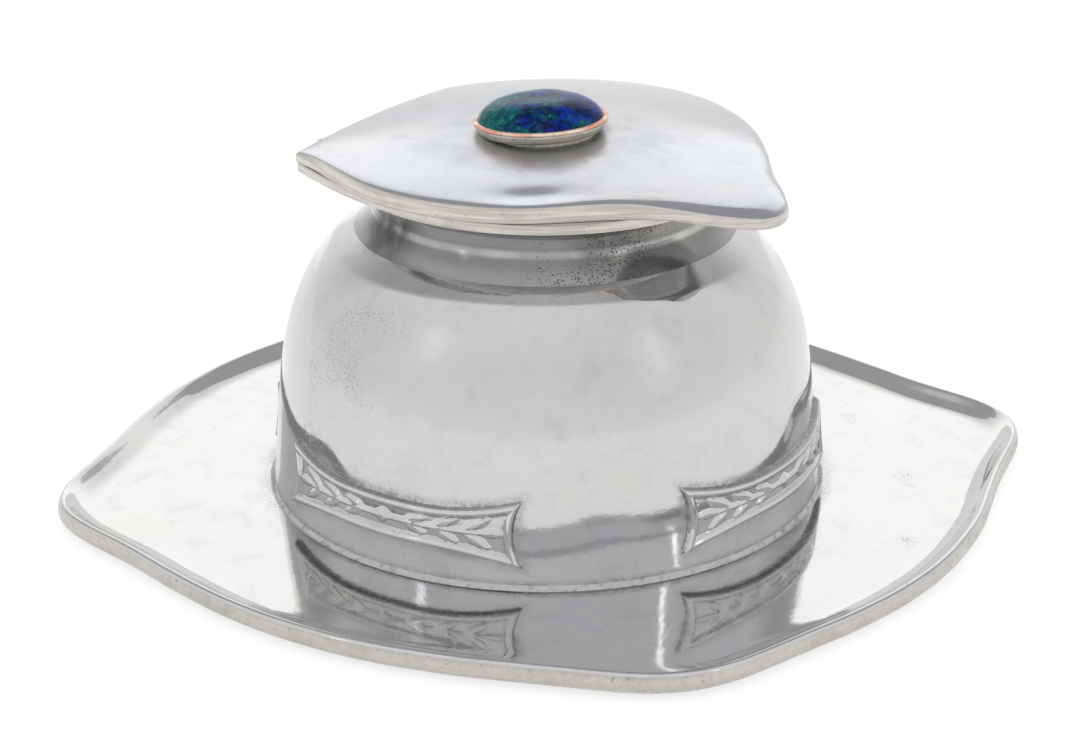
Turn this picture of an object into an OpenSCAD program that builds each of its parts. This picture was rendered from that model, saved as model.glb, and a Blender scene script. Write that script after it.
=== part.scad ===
// Desk inkstand: a tray with a domed body, a hinged lid set with an enamel disc, and a glass
// liner for the ink. Millimetres. Z = 0 is the underside of the tray, X = Y = 0 is the axis of
// the dome, the hinge is at the back (+Y) and the thumb corner of the lid is at the front (-Y).

/* [Tray] */
// Thickness of the flat of the tray
tray_t = 2.2; // [1.8:0.1:3]
// How far the rim stands above the flat
rim_rise = 2.3; // [1.5:0.1:3]
// Width of the hollow slope from the rim down to the flat
rim_w = 6.5; // [5:0.5:9]
// Plan radius midway along the right, back, left and front sides
tray_side_r = [74.6, 77.4, 75.6, 77.9];
// Plan radius at the tips of the four ears
tray_ear_r = [86.2, 87.1, 83.7, 88.6];
// Directions of the four ears, anticlockwise from +X
tray_ear_at = [44, 136.5, 228.7, 314.6];
// Half the angle across which an ear stands more than half out
tray_ear_half = 10.6; // [9:0.1:13]
// How suddenly an ear's flanks fall away from its tip
ear_sharpness = 2.38; // [2:0.02:4]

/* [Body] */
// Radius of the dome at its foot
foot_r = 49; // [46:0.5:52]
// Greatest radius of the dome above its flared foot
dome_r = 47.3; // [45:0.1:48]
// Height at which the dome's curve would close
dome_h = 57.8; // [56:0.2:60]
// Wall of the dome
dome_wall = 2.6; // [2:0.1:3]
// Height of the dome's top edge above the tray
dome_top = 49.5; // [48.5:0.1:50]

/* [Straps] */
// Half the length of a raised strap, along the wall
strap_half = 24; // [20:1:26]
// Height of the middle of a strap above the tray
strap_z = 9.4; // [8.5:0.1:11]
// Width of a strap in its middle
strap_mid_w = 6.8; // [5:0.2:8]
// Width of a strap at its flared ends
strap_end_w = 11.4; // [9:0.2:12.5]
// Width of the raised border round a strap
strap_border = 1.4; // [1:0.1:1.8]

/* [Neck] */
// Radius of the flange that the lid rests on
flange_r = 34; // [33.5:0.1:34.5]
// Thickness of the flange
flange_t = 1.8; // [1.5:0.1:2.2]
// Height of the flange's upper face above the tray
seat_z = 57.2; // [56.8:0.1:57.6]
// Radius of the bore that holds the liner's body
bore_r = 25.8; // [25.6:0.1:26]
// Radius of the recess that holds the liner's rim
recess_r = 28.4; // [28.3:0.1:28.6]
// Depth of the recess, below the flange's upper face
recess_depth = 5.1; // [4.9:0.1:5.4]

/* [Lid] */
// Distance of the straight hinge side behind the axis
hinge_side_y = 35.4; // [35.2:0.1:36]
// Height of the lid's crown above the tray
crown_z = 63; // [62.5:0.1:64]
// Radius of the sphere that the crown follows
crown_r = 245; // [220:5:280]
// Where the crown is highest, from the axis
crown_at = [3.9, 2];
// Thickness of the lid above its hollow
lid_wall = 1.6; // [1.4:0.1:2.2]
// Radius of the hollow under the lid
hollow_r = 30; // [29:0.1:30.5]
// Thickness of the thumb corner, which droops below the seat
thumb_t = 2.3; // [2:0.1:2.8]
// How far in front of the axis the thumb corner starts
thumb_from = 34.6; // [34.2:0.1:35]

/* [Hinge] */
// Distance of the pin's axis behind the axis of the dome
pin_y = 38.1; // [37.9:0.1:38.5]
// Height of the pin's axis below the lid's seat
pin_drop = 0.6; // [0.4:0.1:0.8]
// Outer radius of the knuckles
knuckle_r = 1.8; // [1.6:0.1:2]
// Radius of the pin
pin_r = 0.7; // [0.6:0.05:0.8]
// Length of the middle knuckle
knuckle_mid_l = 10; // [8:1:14]
// Length of each outer knuckle
knuckle_end_l = 8.6; // [7:0.2:10]

/* [Enamel] */
// Radius of the copper disc
copper_r = 11.6; // [11:0.1:12]
// Height of the copper disc's upper edge above the tray
copper_z = 65.1; // [64.9:0.1:65.6]
// Height of the enamel dome above the copper
enamel_h = 4.2; // [3:0.1:5]
// How far the enamel leans, in degrees
enamel_lean = 2.4; // [0:0.2:3]
// Where the enamel stands, from the axis
enamel_at = [-0.45, 0.65];

/* [Liner] */
// Outer radius of the glass pot
liner_r = 25.4; // [25.2:0.1:25.5]
// Wall of the glass pot
liner_wall = 3; // [2.5:0.1:3.5]
// Radius of the rim that hangs in the neck
liner_rim_r = 28.1; // [27.9:0.05:28.15]
// Thickness of the rim
liner_rim_t = 1.8; // [1.6:0.1:2.2]
// Height of the pot from underneath to the top of its rim
liner_h = 40.3; // [36:0.1:42]

/* [Hidden] */

round_fn = 180;
crown_fn = 240;
pewter = [0.72, 0.72, 0.70];
pewter_dark = [0.55, 0.55, 0.54];
solder_grey = [0.62, 0.62, 0.61];
copper_pink = [0.86, 0.55, 0.44];
enamel_blue = [0.05, 0.17, 0.42];
glass_clear = [0.80, 0.90, 0.88, 0.45];

// Heights above the ground of what stands on the flat of the tray
seat = tray_t + seat_z;
crown_top = tray_t + crown_z;
ledge_z = seat - recess_depth;
pin_z = seat - pin_drop;
running_gap = 0.06;
leaf_gap = 0.1;

// Tray ------------------------------------------------------------------------------------

tray_steps = 120;

function turn_between(a, b) = abs((a - b + 540) % 360 - 180);
function side_r(a) =
    let (q = a / 90, i = floor(q), f = (1 - cos((q - i) * 180)) / 2)
    tray_side_r[i % 4] * (1 - f) + tray_side_r[(i + 1) % 4] * f;
function ear_bulge(a, i) =
    (tray_ear_r[i] - side_r(tray_ear_at[i]))
    / (1 + pow(turn_between(a, tray_ear_at[i]) / tray_ear_half, ear_sharpness));
function tray_r(a) =
    side_r(a) + ear_bulge(a, 0) + ear_bulge(a, 1) + ear_bulge(a, 2) + ear_bulge(a, 3);

// Section of the rim from the flat underside, round the edge, to the flat upper side:
// distance in from the outline, and height
rim_section = [
    [rim_w, 0], [3.2, 0.15], [1.2, 0.7], [0.2, 1.5],
    [0, 2.4], [0.1, tray_t + rim_rise - 1],
    [0.45, tray_t + rim_rise - 0.3], [1, tray_t + rim_rise], [1.6, tray_t + rim_rise - 0.25],
    [2.6, tray_t + 1.2], [3.8, tray_t + 0.45], [5.2, tray_t + 0.08], [rim_w, tray_t]];

module base_tray() {
    rows = len(rim_section);
    n = tray_steps;
    points = [for (p = rim_section, i = [0 : n - 1])
        let (a = i * 360 / n, r = tray_r(a) - p[0]) [r * cos(a), r * sin(a), p[1]]];
    sides = [for (j = [0 : rows - 2], i = [0 : n - 1])
        let (k = (i + 1) % n) [j * n + i, (j + 1) * n + i, (j + 1) * n + k, j * n + k]];
    underside = [for (i = [0 : n - 1]) i];
    flat = [for (i = [n - 1 : -1 : 0]) (rows - 1) * n + i];
    color(pewter)
    polyhedron(points, concat(sides, [underside, flat]), convexity = 4);
}

// Dome ------------------------------------------------------------------------------------

dome_power = 3.45;
foot_flare_h = 5;

function barrel_r(z, r, h) = r * sqrt(1 - pow(z / h, dome_power));
function flare(z) = (foot_r - dome_r) * pow(max(0, 1 - z / foot_flare_h), 2);
function dome_outer_r(z) = barrel_r(z, dome_r, dome_h) + flare(z);
function dome_inner_r(z) = barrel_r(z, dome_r - dome_wall, dome_h - dome_wall);

foot_heights = [0, 1, 2, 3, 4];
wall_heights = [5, 12, 20, 27, 32, 36, 39.5, 42.5, 45, 47, 48.5, dome_top];
mouth_r = bore_r + 0.3;
outer_heights = concat(foot_heights, wall_heights);

// Straps: each is a level ribbon that widens towards its dished ends. Inside its raised border
// lies a sprig, a reed with pairs of leaves that point away from a lozenge in the middle

panel_rise = 0.45;
border_rise = 1.1;
sprig_rise = 0.85;
strap_straight = 7;
strap_end_dish = 1.5;
strap_steps = 20;
lozenge_l = 5.2;
lozenge_w = 2.8;
reed_w = 0.8;
reed_reach = 17.5;
leaf_pairs = 3;
leaf_start = 3.8;
leaf_pitch = 5.1;
// Each pair of leaves is longer, and leans further off the reed, than the pair before it
leaf_l = 4.6;
leaf_gain = 0.5;
leaf_w = 1.5;
leaf_lean = 18;
leaf_lean_gain = 5;
end_leaf_lap = 0.5;
// The straps' outlines are cut out of a band of the wall, which leans a little as the wall does
band_low = 2.5;
band_high = 17;
band_low_lean = 0.45;
band_high_lean = 0.11;

function strap_half_w(s) =
    let (t = max(0, (abs(s) - strap_straight) / (strap_half - strap_straight)))
    (strap_mid_w + (strap_end_w - strap_mid_w) * t * t) / 2;

function strap_outline(inset) =
    let (reach = strap_half - inset,
         end_w = strap_half_w(reach) - inset,
         along = [for (i = [-strap_steps : 2 : strap_steps]) reach * i / strap_steps],
         upper = [for (s = along) [s, strap_half_w(s) - inset]],
         dish = [for (v = [0.6, 0, -0.6]) [reach - strap_end_dish * (1 - v * v), v * end_w]],
         right = concat(upper, dish),
         left = [for (p = right) [-p[0], -p[1]]])
    concat(right, left);

// A leaf with two pointed ends, that grows from a place on the reed and leans off it
function leaf(from, side, lean, length) =
    let (u = [side * cos(lean), sin(lean)], v = [-u[1], u[0]], n = 4)
    concat([for (i = [0 : n]) [from, 0] + u * length * i / n + v * leaf_w * sin(180 * i / n) / 2],
           [for (i = [n - 1 : -1 : 1])
               [from, 0] + u * length * i / n - v * leaf_w * sin(180 * i / n) / 2]);

// A shape drawn in distance along the wall and height from the middle of the strap
module drawn(points) {
    polygon([for (p = points) [dome_r * sin(p[0] * 180 / (PI * dome_r)), strap_z + p[1]]]);
}

// Cuts the shapes drawn on the wall out of a band that stands proud of it
module raised(proud) {
    intersection() {
        translate([0, 0, tray_t + band_low])
        cylinder(h = band_high - band_low, r1 = dome_r + proud + band_low_lean,
                 r2 = dome_r + proud - band_high_lean, $fn = round_fn);
        translate([0, -dome_r / 2, tray_t])
        rotate([90, 0, 0])
        linear_extrude(height = dome_r)
        children();
    }
}

module sprig() {
    drawn([[-lozenge_l / 2, 0], [0, -lozenge_w / 2], [lozenge_l / 2, 0], [0, lozenge_w / 2]]);
    drawn([[-reed_reach, -reed_w / 2], [reed_reach, -reed_w / 2],
           [reed_reach, reed_w / 2], [-reed_reach, reed_w / 2]]);
    for (side = [-1, 1]) {
        drawn(leaf(side * (reed_reach - end_leaf_lap), side, 0, leaf_l));
        for (i = [0 : leaf_pairs - 1], up = [-1, 1])
            drawn(leaf(side * (leaf_start + i * leaf_pitch), side,
                       up * (leaf_lean + leaf_lean_gain * i), leaf_l + leaf_gain * i));
    }
}

module strap() {
    raised(panel_rise)
    drawn(strap_outline(0));
    raised(border_rise)
    difference() {
        drawn(strap_outline(0));
        drawn(strap_outline(strap_border));
    }
    raised(sprig_rise)
    sprig();
}

module dome_shell() {
    inner = [for (z = outer_heights) dome_inner_r(z)];
    last = len(outer_heights) - 1;
    translate([0, 0, tray_t])
    rotate_extrude($fn = round_fn)
    polygon(concat(
        [for (z = outer_heights) [dome_outer_r(z), z]],
        [[mouth_r, dome_top]],
        [for (i = [last : -1 : 0]) [max(mouth_r, inner[i]), outer_heights[i]]]));
}

module strap_skin() {
    difference() {
        for (turn = [0 : 90 : 270]) {
            rotate([0, 0, turn])
            strap();
        }
        translate([0, 0, tray_t])
        cylinder(h = band_high + 1, r = dome_r - dome_wall / 2, $fn = round_fn);
    }
}

module dome_body() {
    color(pewter)
    union() {
        // The shell's seam lies between two straps
        rotate([0, 0, 45])
        dome_shell();
        strap_skin();
    }
}

bead_w = 0.7;

module foot_solder_bead() {
    color(solder_grey)
    translate([0, 0, tray_t])
    rotate_extrude($fn = round_fn)
    polygon([[foot_r, 0], [foot_r + bead_w, 0], [foot_r + bead_w / 5, foot_heights[1] / 3],
             [dome_outer_r(foot_heights[1]), foot_heights[1]]]);
}

// Neck ------------------------------------------------------------------------------------

neck_foot_r = dome_outer_r(dome_top);
cove_r = 3.9;
cove_at = [33.3, 52.3];
// The turned part of the collar ends a little inside the flange's edge and below its upper face
flange_lap = 0.2;
flange_top_lap = 0.5;
ear_left_x = -23.6;
ear_right_x = 20.2;
ear_inset = 0.2;
// Where the ears' hollow sides leave the round of the flange, and how far they dip
ear_root = [33.4, 6];
ear_dip = 1.2;

// Outline of the flange: a circle that runs out to two ears on the hinge side
function hollow_side(from, to, dip) =
    let (d = to - from, u = [-d[1], d[0]] / norm(d), n = 6)
    [for (i = [0 : n]) from + d * i / n + u * dip * sin(180 * i / n)];

module flange_outline() {
    circle(r = flange_r, $fn = round_fn);
    polygon(concat(
        hollow_side([-ear_root[0], ear_root[1]], [ear_left_x, hinge_side_y - ear_inset], ear_dip),
        hollow_side([ear_right_x, hinge_side_y - ear_inset], ear_root, ear_dip)));
}

module neck_collar() {
    collar_core_r = bore_r - 0.7;
    cut_h = 10;
    color(pewter_dark)
    difference() {
        union() {
            translate([0, 0, tray_t])
            rotate_extrude($fn = round_fn)
            difference() {
                polygon([[collar_core_r, dome_top], [neck_foot_r, dome_top],
                         [flange_r - flange_lap, seat_z - flange_t],
                         [flange_r - flange_lap, seat_z - flange_top_lap],
                         [collar_core_r, seat_z - flange_top_lap]]);
                translate(cove_at)
                circle(r = cove_r, $fn = 60);
            }
            translate([0, 0, seat - flange_t])
            linear_extrude(height = flange_t)
            flange_outline();
        }
        translate([0, 0, tray_t + dome_top - 1])
        cylinder(h = cut_h, r = bore_r, $fn = round_fn);
        translate([0, 0, ledge_z])
        cylinder(h = cut_h, r = recess_r, $fn = round_fn);
    }
}

neck_bead_h = 0.45;
neck_bead_w = 0.55;
neck_bead_gap = 0.05;
neck_bead_sag = 0.2;

module neck_solder_bead() {
    inner = neck_foot_r + neck_bead_gap;
    outer = neck_foot_r + neck_bead_w;
    color(solder_grey)
    translate([0, 0, tray_t + dome_top])
    rotate_extrude($fn = round_fn)
    polygon([[inner, 0], [outer, -neck_bead_sag], [outer - neck_bead_sag, neck_bead_h],
             [inner, neck_bead_h]]);
}

// Hinge -----------------------------------------------------------------------------------

knuckle_gap = 0.2;
pin_head_t = 0.5;
pin_head_lip = 0.4;
fixed_tongue_t = 1.4;
end_knuckle_x = knuckle_mid_l / 2 + knuckle_gap;
pin_half = end_knuckle_x + knuckle_end_l;

module barrel(from_x, length, r) {
    translate([from_x, pin_y, pin_z])
    rotate([0, 90, 0])
    cylinder(h = length, r = r, $fn = 48);
}

// A knuckle and the tongue that joins it to the plate in front of it
module knuckle(from_x, length, bore, tongue_z, tongue_t, tongue_y) {
    difference() {
        union() {
            barrel(from_x, length, knuckle_r);
            translate([from_x, tongue_y, tongue_z])
            cube([length, pin_y - tongue_y, tongue_t]);
        }
        barrel(from_x - 1, length + 2, bore);
    }
}

module fixed_knuckle(from_x) {
    low = pin_z - knuckle_r;
    knuckle(from_x, knuckle_end_l, pin_r, low, fixed_tongue_t, hinge_side_y - ear_inset);
}

module hinge_knuckle_left() {
    color(pewter_dark)
    fixed_knuckle(-end_knuckle_x - knuckle_end_l);
}

module hinge_knuckle_right() {
    color(pewter_dark)
    fixed_knuckle(end_knuckle_x);
}

module hinge_knuckle_lid() {
    low = seat + leaf_gap;
    color(pewter_dark)
    knuckle(-knuckle_mid_l / 2, knuckle_mid_l, pin_r + running_gap,
            low, pin_z + knuckle_r - low, hinge_side_y);
}

module hinge_pin() {
    color(solder_grey)
    union() {
        barrel(-pin_half - pin_head_t, 2 * (pin_half + pin_head_t), pin_r);
        barrel(-pin_half - pin_head_t, pin_head_t, pin_r + pin_head_lip);
        barrel(pin_half, pin_head_t, pin_r + pin_head_lip);
    }
}

// Lid -------------------------------------------------------------------------------------

// Points that the lid's outline passes through: direction, anticlockwise from +X, and radius.
// The hinge side closes it with a straight line
lid_knots = [
    [atan2(hinge_side_y, -23.8), norm([hinge_side_y, 23.8])], [132, 39.2], [146, 36.7],
    [168, 35.5], [200, 34.2], [222, 33.1], [236, 34.2], [246, 38], [255, 43.6], [262, 47.5],
    [269, 47.6], [276, 44.3], [288, 39.4], [310, 37.4], [336, 39.2], [360, 43], [378, 44.2],
    [400, 42.6], [360 + atan2(hinge_side_y, 20.4), norm([hinge_side_y, 20.4])]];
lid_steps = 6;

function spline(a, b, c, d, t) =
    0.5 * (2 * b + (c - a) * t + (2 * a - 5 * b + 4 * c - d) * t * t
           + (3 * b - a - 3 * c + d) * t * t * t);
function lid_outline() =
    let (n = len(lid_knots))
    [for (i = [0 : n - 2], j = [0 : i == n - 2 ? lid_steps : lid_steps - 1])
        let (p = spline(lid_knots[max(i - 1, 0)], lid_knots[i], lid_knots[i + 1],
                        lid_knots[min(i + 2, n - 1)], j / lid_steps))
        [p[1] * cos(p[0]), p[1] * sin(p[0])]];

module crown(r) {
    translate([crown_at[0], crown_at[1], crown_top - crown_r])
    sphere(r = r, $fn = crown_fn);
}

// How far below the seat the lid's blank reaches, for the thumb corner to be cut from
thumb_room = 8;
lid_reach = 60;

// A block wider than the lid, below the seat, from one place along Y to another
module below_seat(from_y, to_y) {
    translate([-lid_reach, from_y, seat - thumb_room - 1])
    cube([2 * lid_reach, to_y - from_y, thumb_room + 1]);
}

module lid_plate() {
    color(pewter)
    difference() {
        intersection() {
            translate([0, 0, seat - thumb_room])
            linear_extrude(height = crown_top - seat + thumb_room + 1)
            polygon(lid_outline());
            crown(crown_r);
        }
        below_seat(-thumb_from, lid_reach);
        intersection() {
            crown(crown_r - thumb_t);
            below_seat(-lid_reach, -thumb_from);
        }
        intersection() {
            crown(crown_r - lid_wall);
            translate([0, 0, seat - 1])
            cylinder(h = crown_top - seat + 1, r = hollow_r, $fn = round_fn);
        }
    }
}

// Enamel ----------------------------------------------------------------------------------

copper_t = 0.7;
copper_lip = 0.75;
enamel_r = copper_r - copper_lip;
// The cup under the copper: its straight foot, which is cut to the crown, and its flared rim
cup_low_r = 9.4;
cup_blank_h = 5;
cup_rim_r = copper_r - 0.2;
cup_rim_z = -1.45;
cup_foot_z = -2;
enamel_cap_r = (enamel_r * enamel_r + enamel_h * enamel_h) / (2 * enamel_h);
// Direction, from +X, towards which the enamel rises
lean_towards = -56;

// Leans what stands on the lid's middle, about the middle of the copper's upper face
module leaning() {
    translate([enamel_at[0], enamel_at[1], tray_t + copper_z])
    rotate([0, 0, lean_towards])
    rotate([0, -enamel_lean, 0])
    children();
}

module cabochon_cup() {
    color(pewter)
    difference() {
        leaning()
        rotate_extrude($fn = round_fn)
        polygon([[0, -cup_blank_h], [cup_low_r, -cup_blank_h], [cup_low_r, cup_foot_z],
                 [cup_rim_r, cup_rim_z], [cup_rim_r, -copper_t], [0, -copper_t]]);
        crown(crown_r);
    }
}

module copper_disc() {
    color(copper_pink)
    leaning()
    translate([0, 0, -copper_t])
    cylinder(h = copper_t, r = copper_r, $fn = round_fn);
}

module enamel_cabochon() {
    color(enamel_blue)
    leaning()
    intersection() {
        cylinder(h = enamel_h + 1, r = enamel_r + 1, $fn = round_fn);
        translate([0, 0, enamel_h - enamel_cap_r])
        sphere(r = enamel_cap_r, $fn = round_fn);
    }
}

// Liner -----------------------------------------------------------------------------------

liner_corner = 3.2;
liner_lip = 0.5;
liner_top = ledge_z + liner_rim_t;

function quarter(centre, r, from, to) =
    [for (i = [0 : 5]) let (a = from + (to - from) * i / 5) centre + r * [cos(a), sin(a)]];

module ink_liner() {
    low = liner_top - liner_h;
    inner_r = liner_r - liner_wall;
    floor_z = low + liner_wall;
    color(glass_clear)
    rotate_extrude($fn = round_fn)
    polygon(concat(
        [[0, low]],
        quarter([liner_r - liner_corner, low + liner_corner], liner_corner, -90, 0),
        [[liner_r, ledge_z], [liner_rim_r, ledge_z], [liner_rim_r, liner_top - liner_lip],
         [liner_rim_r - liner_lip, liner_top], [inner_r + liner_lip, liner_top],
         [inner_r, liner_top - liner_lip]],
        quarter([inner_r - liner_corner, floor_z + liner_corner], liner_corner, 0, -90),
        [[0, floor_z]]));
}

base_tray();
dome_body();
foot_solder_bead();
neck_collar();
neck_solder_bead();
hinge_knuckle_left();
hinge_knuckle_right();
hinge_pin();
lid_plate();
hinge_knuckle_lid();
cabochon_cup();
copper_disc();
enamel_cabochon();
ink_liner();
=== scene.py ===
"""A desk inkstand of polished pewter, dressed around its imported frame.

The stand is a tray with four ears, a dome with four raised straps and a neck. The lid is set with
an enamel disc and swings on a hinge at the back. A glass liner hangs in the neck.
All shapes are made in millimetres, in the frame's own axes, and scaled to metres at the end.
"""

import logging
import math
from collections.abc import Callable, Sequence
from dataclasses import dataclass, field
from enum import Enum

import bmesh
import bpy
from mathutils import Matrix, Vector, noise


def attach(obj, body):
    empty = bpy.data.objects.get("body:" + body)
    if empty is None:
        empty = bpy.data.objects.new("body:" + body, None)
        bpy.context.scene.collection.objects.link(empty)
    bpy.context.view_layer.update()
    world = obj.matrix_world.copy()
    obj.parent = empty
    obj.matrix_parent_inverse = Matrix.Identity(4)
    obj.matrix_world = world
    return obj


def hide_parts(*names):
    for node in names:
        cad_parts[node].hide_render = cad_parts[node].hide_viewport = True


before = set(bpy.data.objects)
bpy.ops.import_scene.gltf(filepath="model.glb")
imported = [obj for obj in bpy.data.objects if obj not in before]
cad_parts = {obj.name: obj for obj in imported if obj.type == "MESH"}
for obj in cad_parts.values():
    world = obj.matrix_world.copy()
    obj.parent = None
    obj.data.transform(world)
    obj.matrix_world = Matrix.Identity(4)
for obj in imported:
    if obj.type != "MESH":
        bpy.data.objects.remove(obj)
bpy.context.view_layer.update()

log = logging.getLogger("inkstand")

MM = 0.001
FULL_TURN = 360.0
Colour = tuple[float, float, float]
Place = tuple[float, float, float]
Section = Sequence[tuple[float, float]]
Ring = Callable[[float], Vector]
Face = bmesh.types.BMFace
Socket = bpy.types.NodeSocket
Value = Socket | float
Tint = Socket | Colour


# Small sums -----------------------------------------------------------------------------------


def clamp(value: float) -> float:
    """Return value, kept between 0 and 1."""
    return max(0.0, min(1.0, value))


def smooth(low: float, high: float, value: float) -> float:
    """Return 0 below low and 1 above high with a smooth rise between, or a fall if low > high."""
    share = clamp((value - low) / (high - low))
    return share * share * (3 - 2 * share)


def mix(first: float, second: float, share: float) -> float:
    """Return the value that lies share of the way from first to second."""
    return first + (second - first) * share


def turned(angle: float, radius: float, height: float) -> Vector:
    """Return the place at an angle in degrees, a radius and a height."""
    a = math.radians(angle)
    return Vector((radius * math.cos(a), radius * math.sin(a), height))


def heading_of(spot: Vector) -> float:
    """Return the direction in which a place lies from the axis, in degrees."""
    return math.degrees(math.atan2(spot.y, spot.x)) % FULL_TURN


def turn_from(first: float, second: float) -> float:
    """Return how far the direction second is turned from first, from -180 to 180 degrees."""
    return (second - first + 1.5 * FULL_TURN) % FULL_TURN - 0.5 * FULL_TURN


def outward(spot: Vector) -> Vector:
    """Return the level direction from the axis to a place."""
    return Vector((spot.x, spot.y, 0)).normalized()


def waves(place: Vector, reach: float, seed: float) -> float:
    """Return smooth noise from -1 to 1 that changes over about reach millimetres."""
    return noise.noise(place / reach + Vector((seed, 2 * seed, -seed)))


def arc(
    centre: tuple[float, float], radius: float, start: float, end: float, steps: int
) -> Section:
    """Return points on an arc in a section.

    Args:
        centre: Its centre, as distance from the axis and height.
        radius: Its radius.
        start: The direction of its first point, in degrees.
        end: The direction of its last point.
        steps: How many steps it takes.

    Returns:
        Pairs of distance from the axis and height.
    """
    angles = [math.radians(mix(start, end, i / steps)) for i in range(steps + 1)]
    return [(centre[0] + radius * math.cos(a), centre[1] + radius * math.sin(a)) for a in angles]


def level_ring(radius: float, height: float) -> Ring:
    """Return a round ring with a radius and a height."""
    return lambda angle: turned(angle, radius, height)


def shaded(colour: Colour, share: float) -> Colour:
    """Return a colour times a number."""
    return tuple(share * c for c in colour)


def in_scene(name: str, data: bpy.types.ID) -> bpy.types.Object:
    """Put a new object of that name and data into the scene, and return it.

    Args:
        name: The object's name.
        data: Its mesh, lamp or camera data.

    Returns:
        The object.
    """
    thing = bpy.data.objects.new(name, data)
    bpy.context.scene.collection.objects.link(thing)
    return thing


# Outlines read from the frame -----------------------------------------------------------------


@dataclass
class FrameOutline:
    """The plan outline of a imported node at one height, as a radius for each direction.

    Args:
        node: The node's name.
        height: The height of the cut, in millimetres.
        beyond: Points nearer to the axis than this belong to a hollow, and are left out.
        corners: Directions in degrees in which the outline has a sharp corner.
        softness: Over how many degrees the outline is smoothed between its corners.
        filed: How uneven its filed edge is, in millimetres.
    """

    node: str
    height: float
    beyond: float
    corners: tuple[float, ...] = ()
    softness: float = 2.0
    filed: float = 0.0
    points: list[tuple[float, Vector]] = field(default_factory=list)
    radii: dict[float, float] = field(default_factory=dict)

    # Where the radius is sampled to smooth it, as shares of the softness.
    OFFSETS = (-1, -0.67, -0.33, 0, 0.33, 0.67, 1)
    # How much a filed edge has lost.
    FILED_OFF = 0.1

    def __post_init__(self) -> None:
        """Cut the node and sort the cut's points by direction."""
        cut_mesh = bmesh.new()
        cut_mesh.from_mesh(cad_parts[self.node].data)
        bmesh.ops.remove_doubles(cut_mesh, verts=cut_mesh.verts, dist=0.001 * MM)
        geom = [*cut_mesh.verts, *cut_mesh.edges, *cut_mesh.faces]
        level = (0, 0, self.height * MM)
        cut = bmesh.ops.bisect_plane(cut_mesh, geom=geom, plane_co=level, plane_no=(0, 0, 1))
        for part in cut["geom_cut"]:
            if isinstance(part, bmesh.types.BMVert):
                place = Vector((part.co.x, part.co.y)) / MM
                if place.length > self.beyond:
                    self.points.append((heading_of(place), place))
        cut_mesh.free()
        self.points.sort(key=lambda entry: entry[0])

    def exact(self, angle: float) -> float:
        """Return the radius of the cut in one direction, in degrees.

        Args:
            angle: The direction, in degrees.

        Returns:
            The radius in millimetres.
        """
        angle %= FULL_TURN
        after = next((i for i, entry in enumerate(self.points) if entry[0] > angle), 0)
        start, end = self.points[after - 1][1], self.points[after][1]
        heading = turned(angle, 1.0, 0.0)
        side = end - start
        across = heading.x * side.y - heading.y * side.x
        if abs(across) < 1e-9:
            return start.length
        return (start.x * side.y - start.y * side.x) / across

    def smoothed(self, angle: float) -> float:
        """Return the smoothed radius in one direction. It is the exact one close to a corner.

        Args:
            angle: The direction, in degrees.

        Returns:
            The radius in millimetres.
        """
        gap = min((abs(turn_from(corner, angle)) for corner in self.corners), default=90.0)
        reach = min(self.softness, gap)
        if reach < 0.2:
            return self.exact(angle)
        return sum(self.exact(angle + reach * o) for o in self.OFFSETS) / len(self.OFFSETS)

    def edge(self, angle: float) -> float:
        """Return the radius in one direction, with the file's marks if it is filed.

        Args:
            angle: The direction, in degrees.

        Returns:
            The radius in millimetres.
        """
        key = round(angle, 3)
        if key not in self.radii:
            radius = self.smoothed(angle)
            if self.filed:
                radius += self.filed * waves(turned(angle, 80, 0), 9.0, 3.1) - self.FILED_OFF
            self.radii[key] = radius
        return self.radii[key]

    def ring(self, inset: float, height: float) -> Ring:
        """Return a ring that follows the edge at an inset and a height."""
        return lambda angle: turned(angle, self.edge(angle) - inset, height)

    def close_to(self, spot: Vector, depth: float) -> bool:
        """Say whether a place lies less than depth inside the edge."""
        return spot.xy.length > self.edge(heading_of(spot)) - depth


# Meshes ---------------------------------------------------------------------------------------


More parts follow.
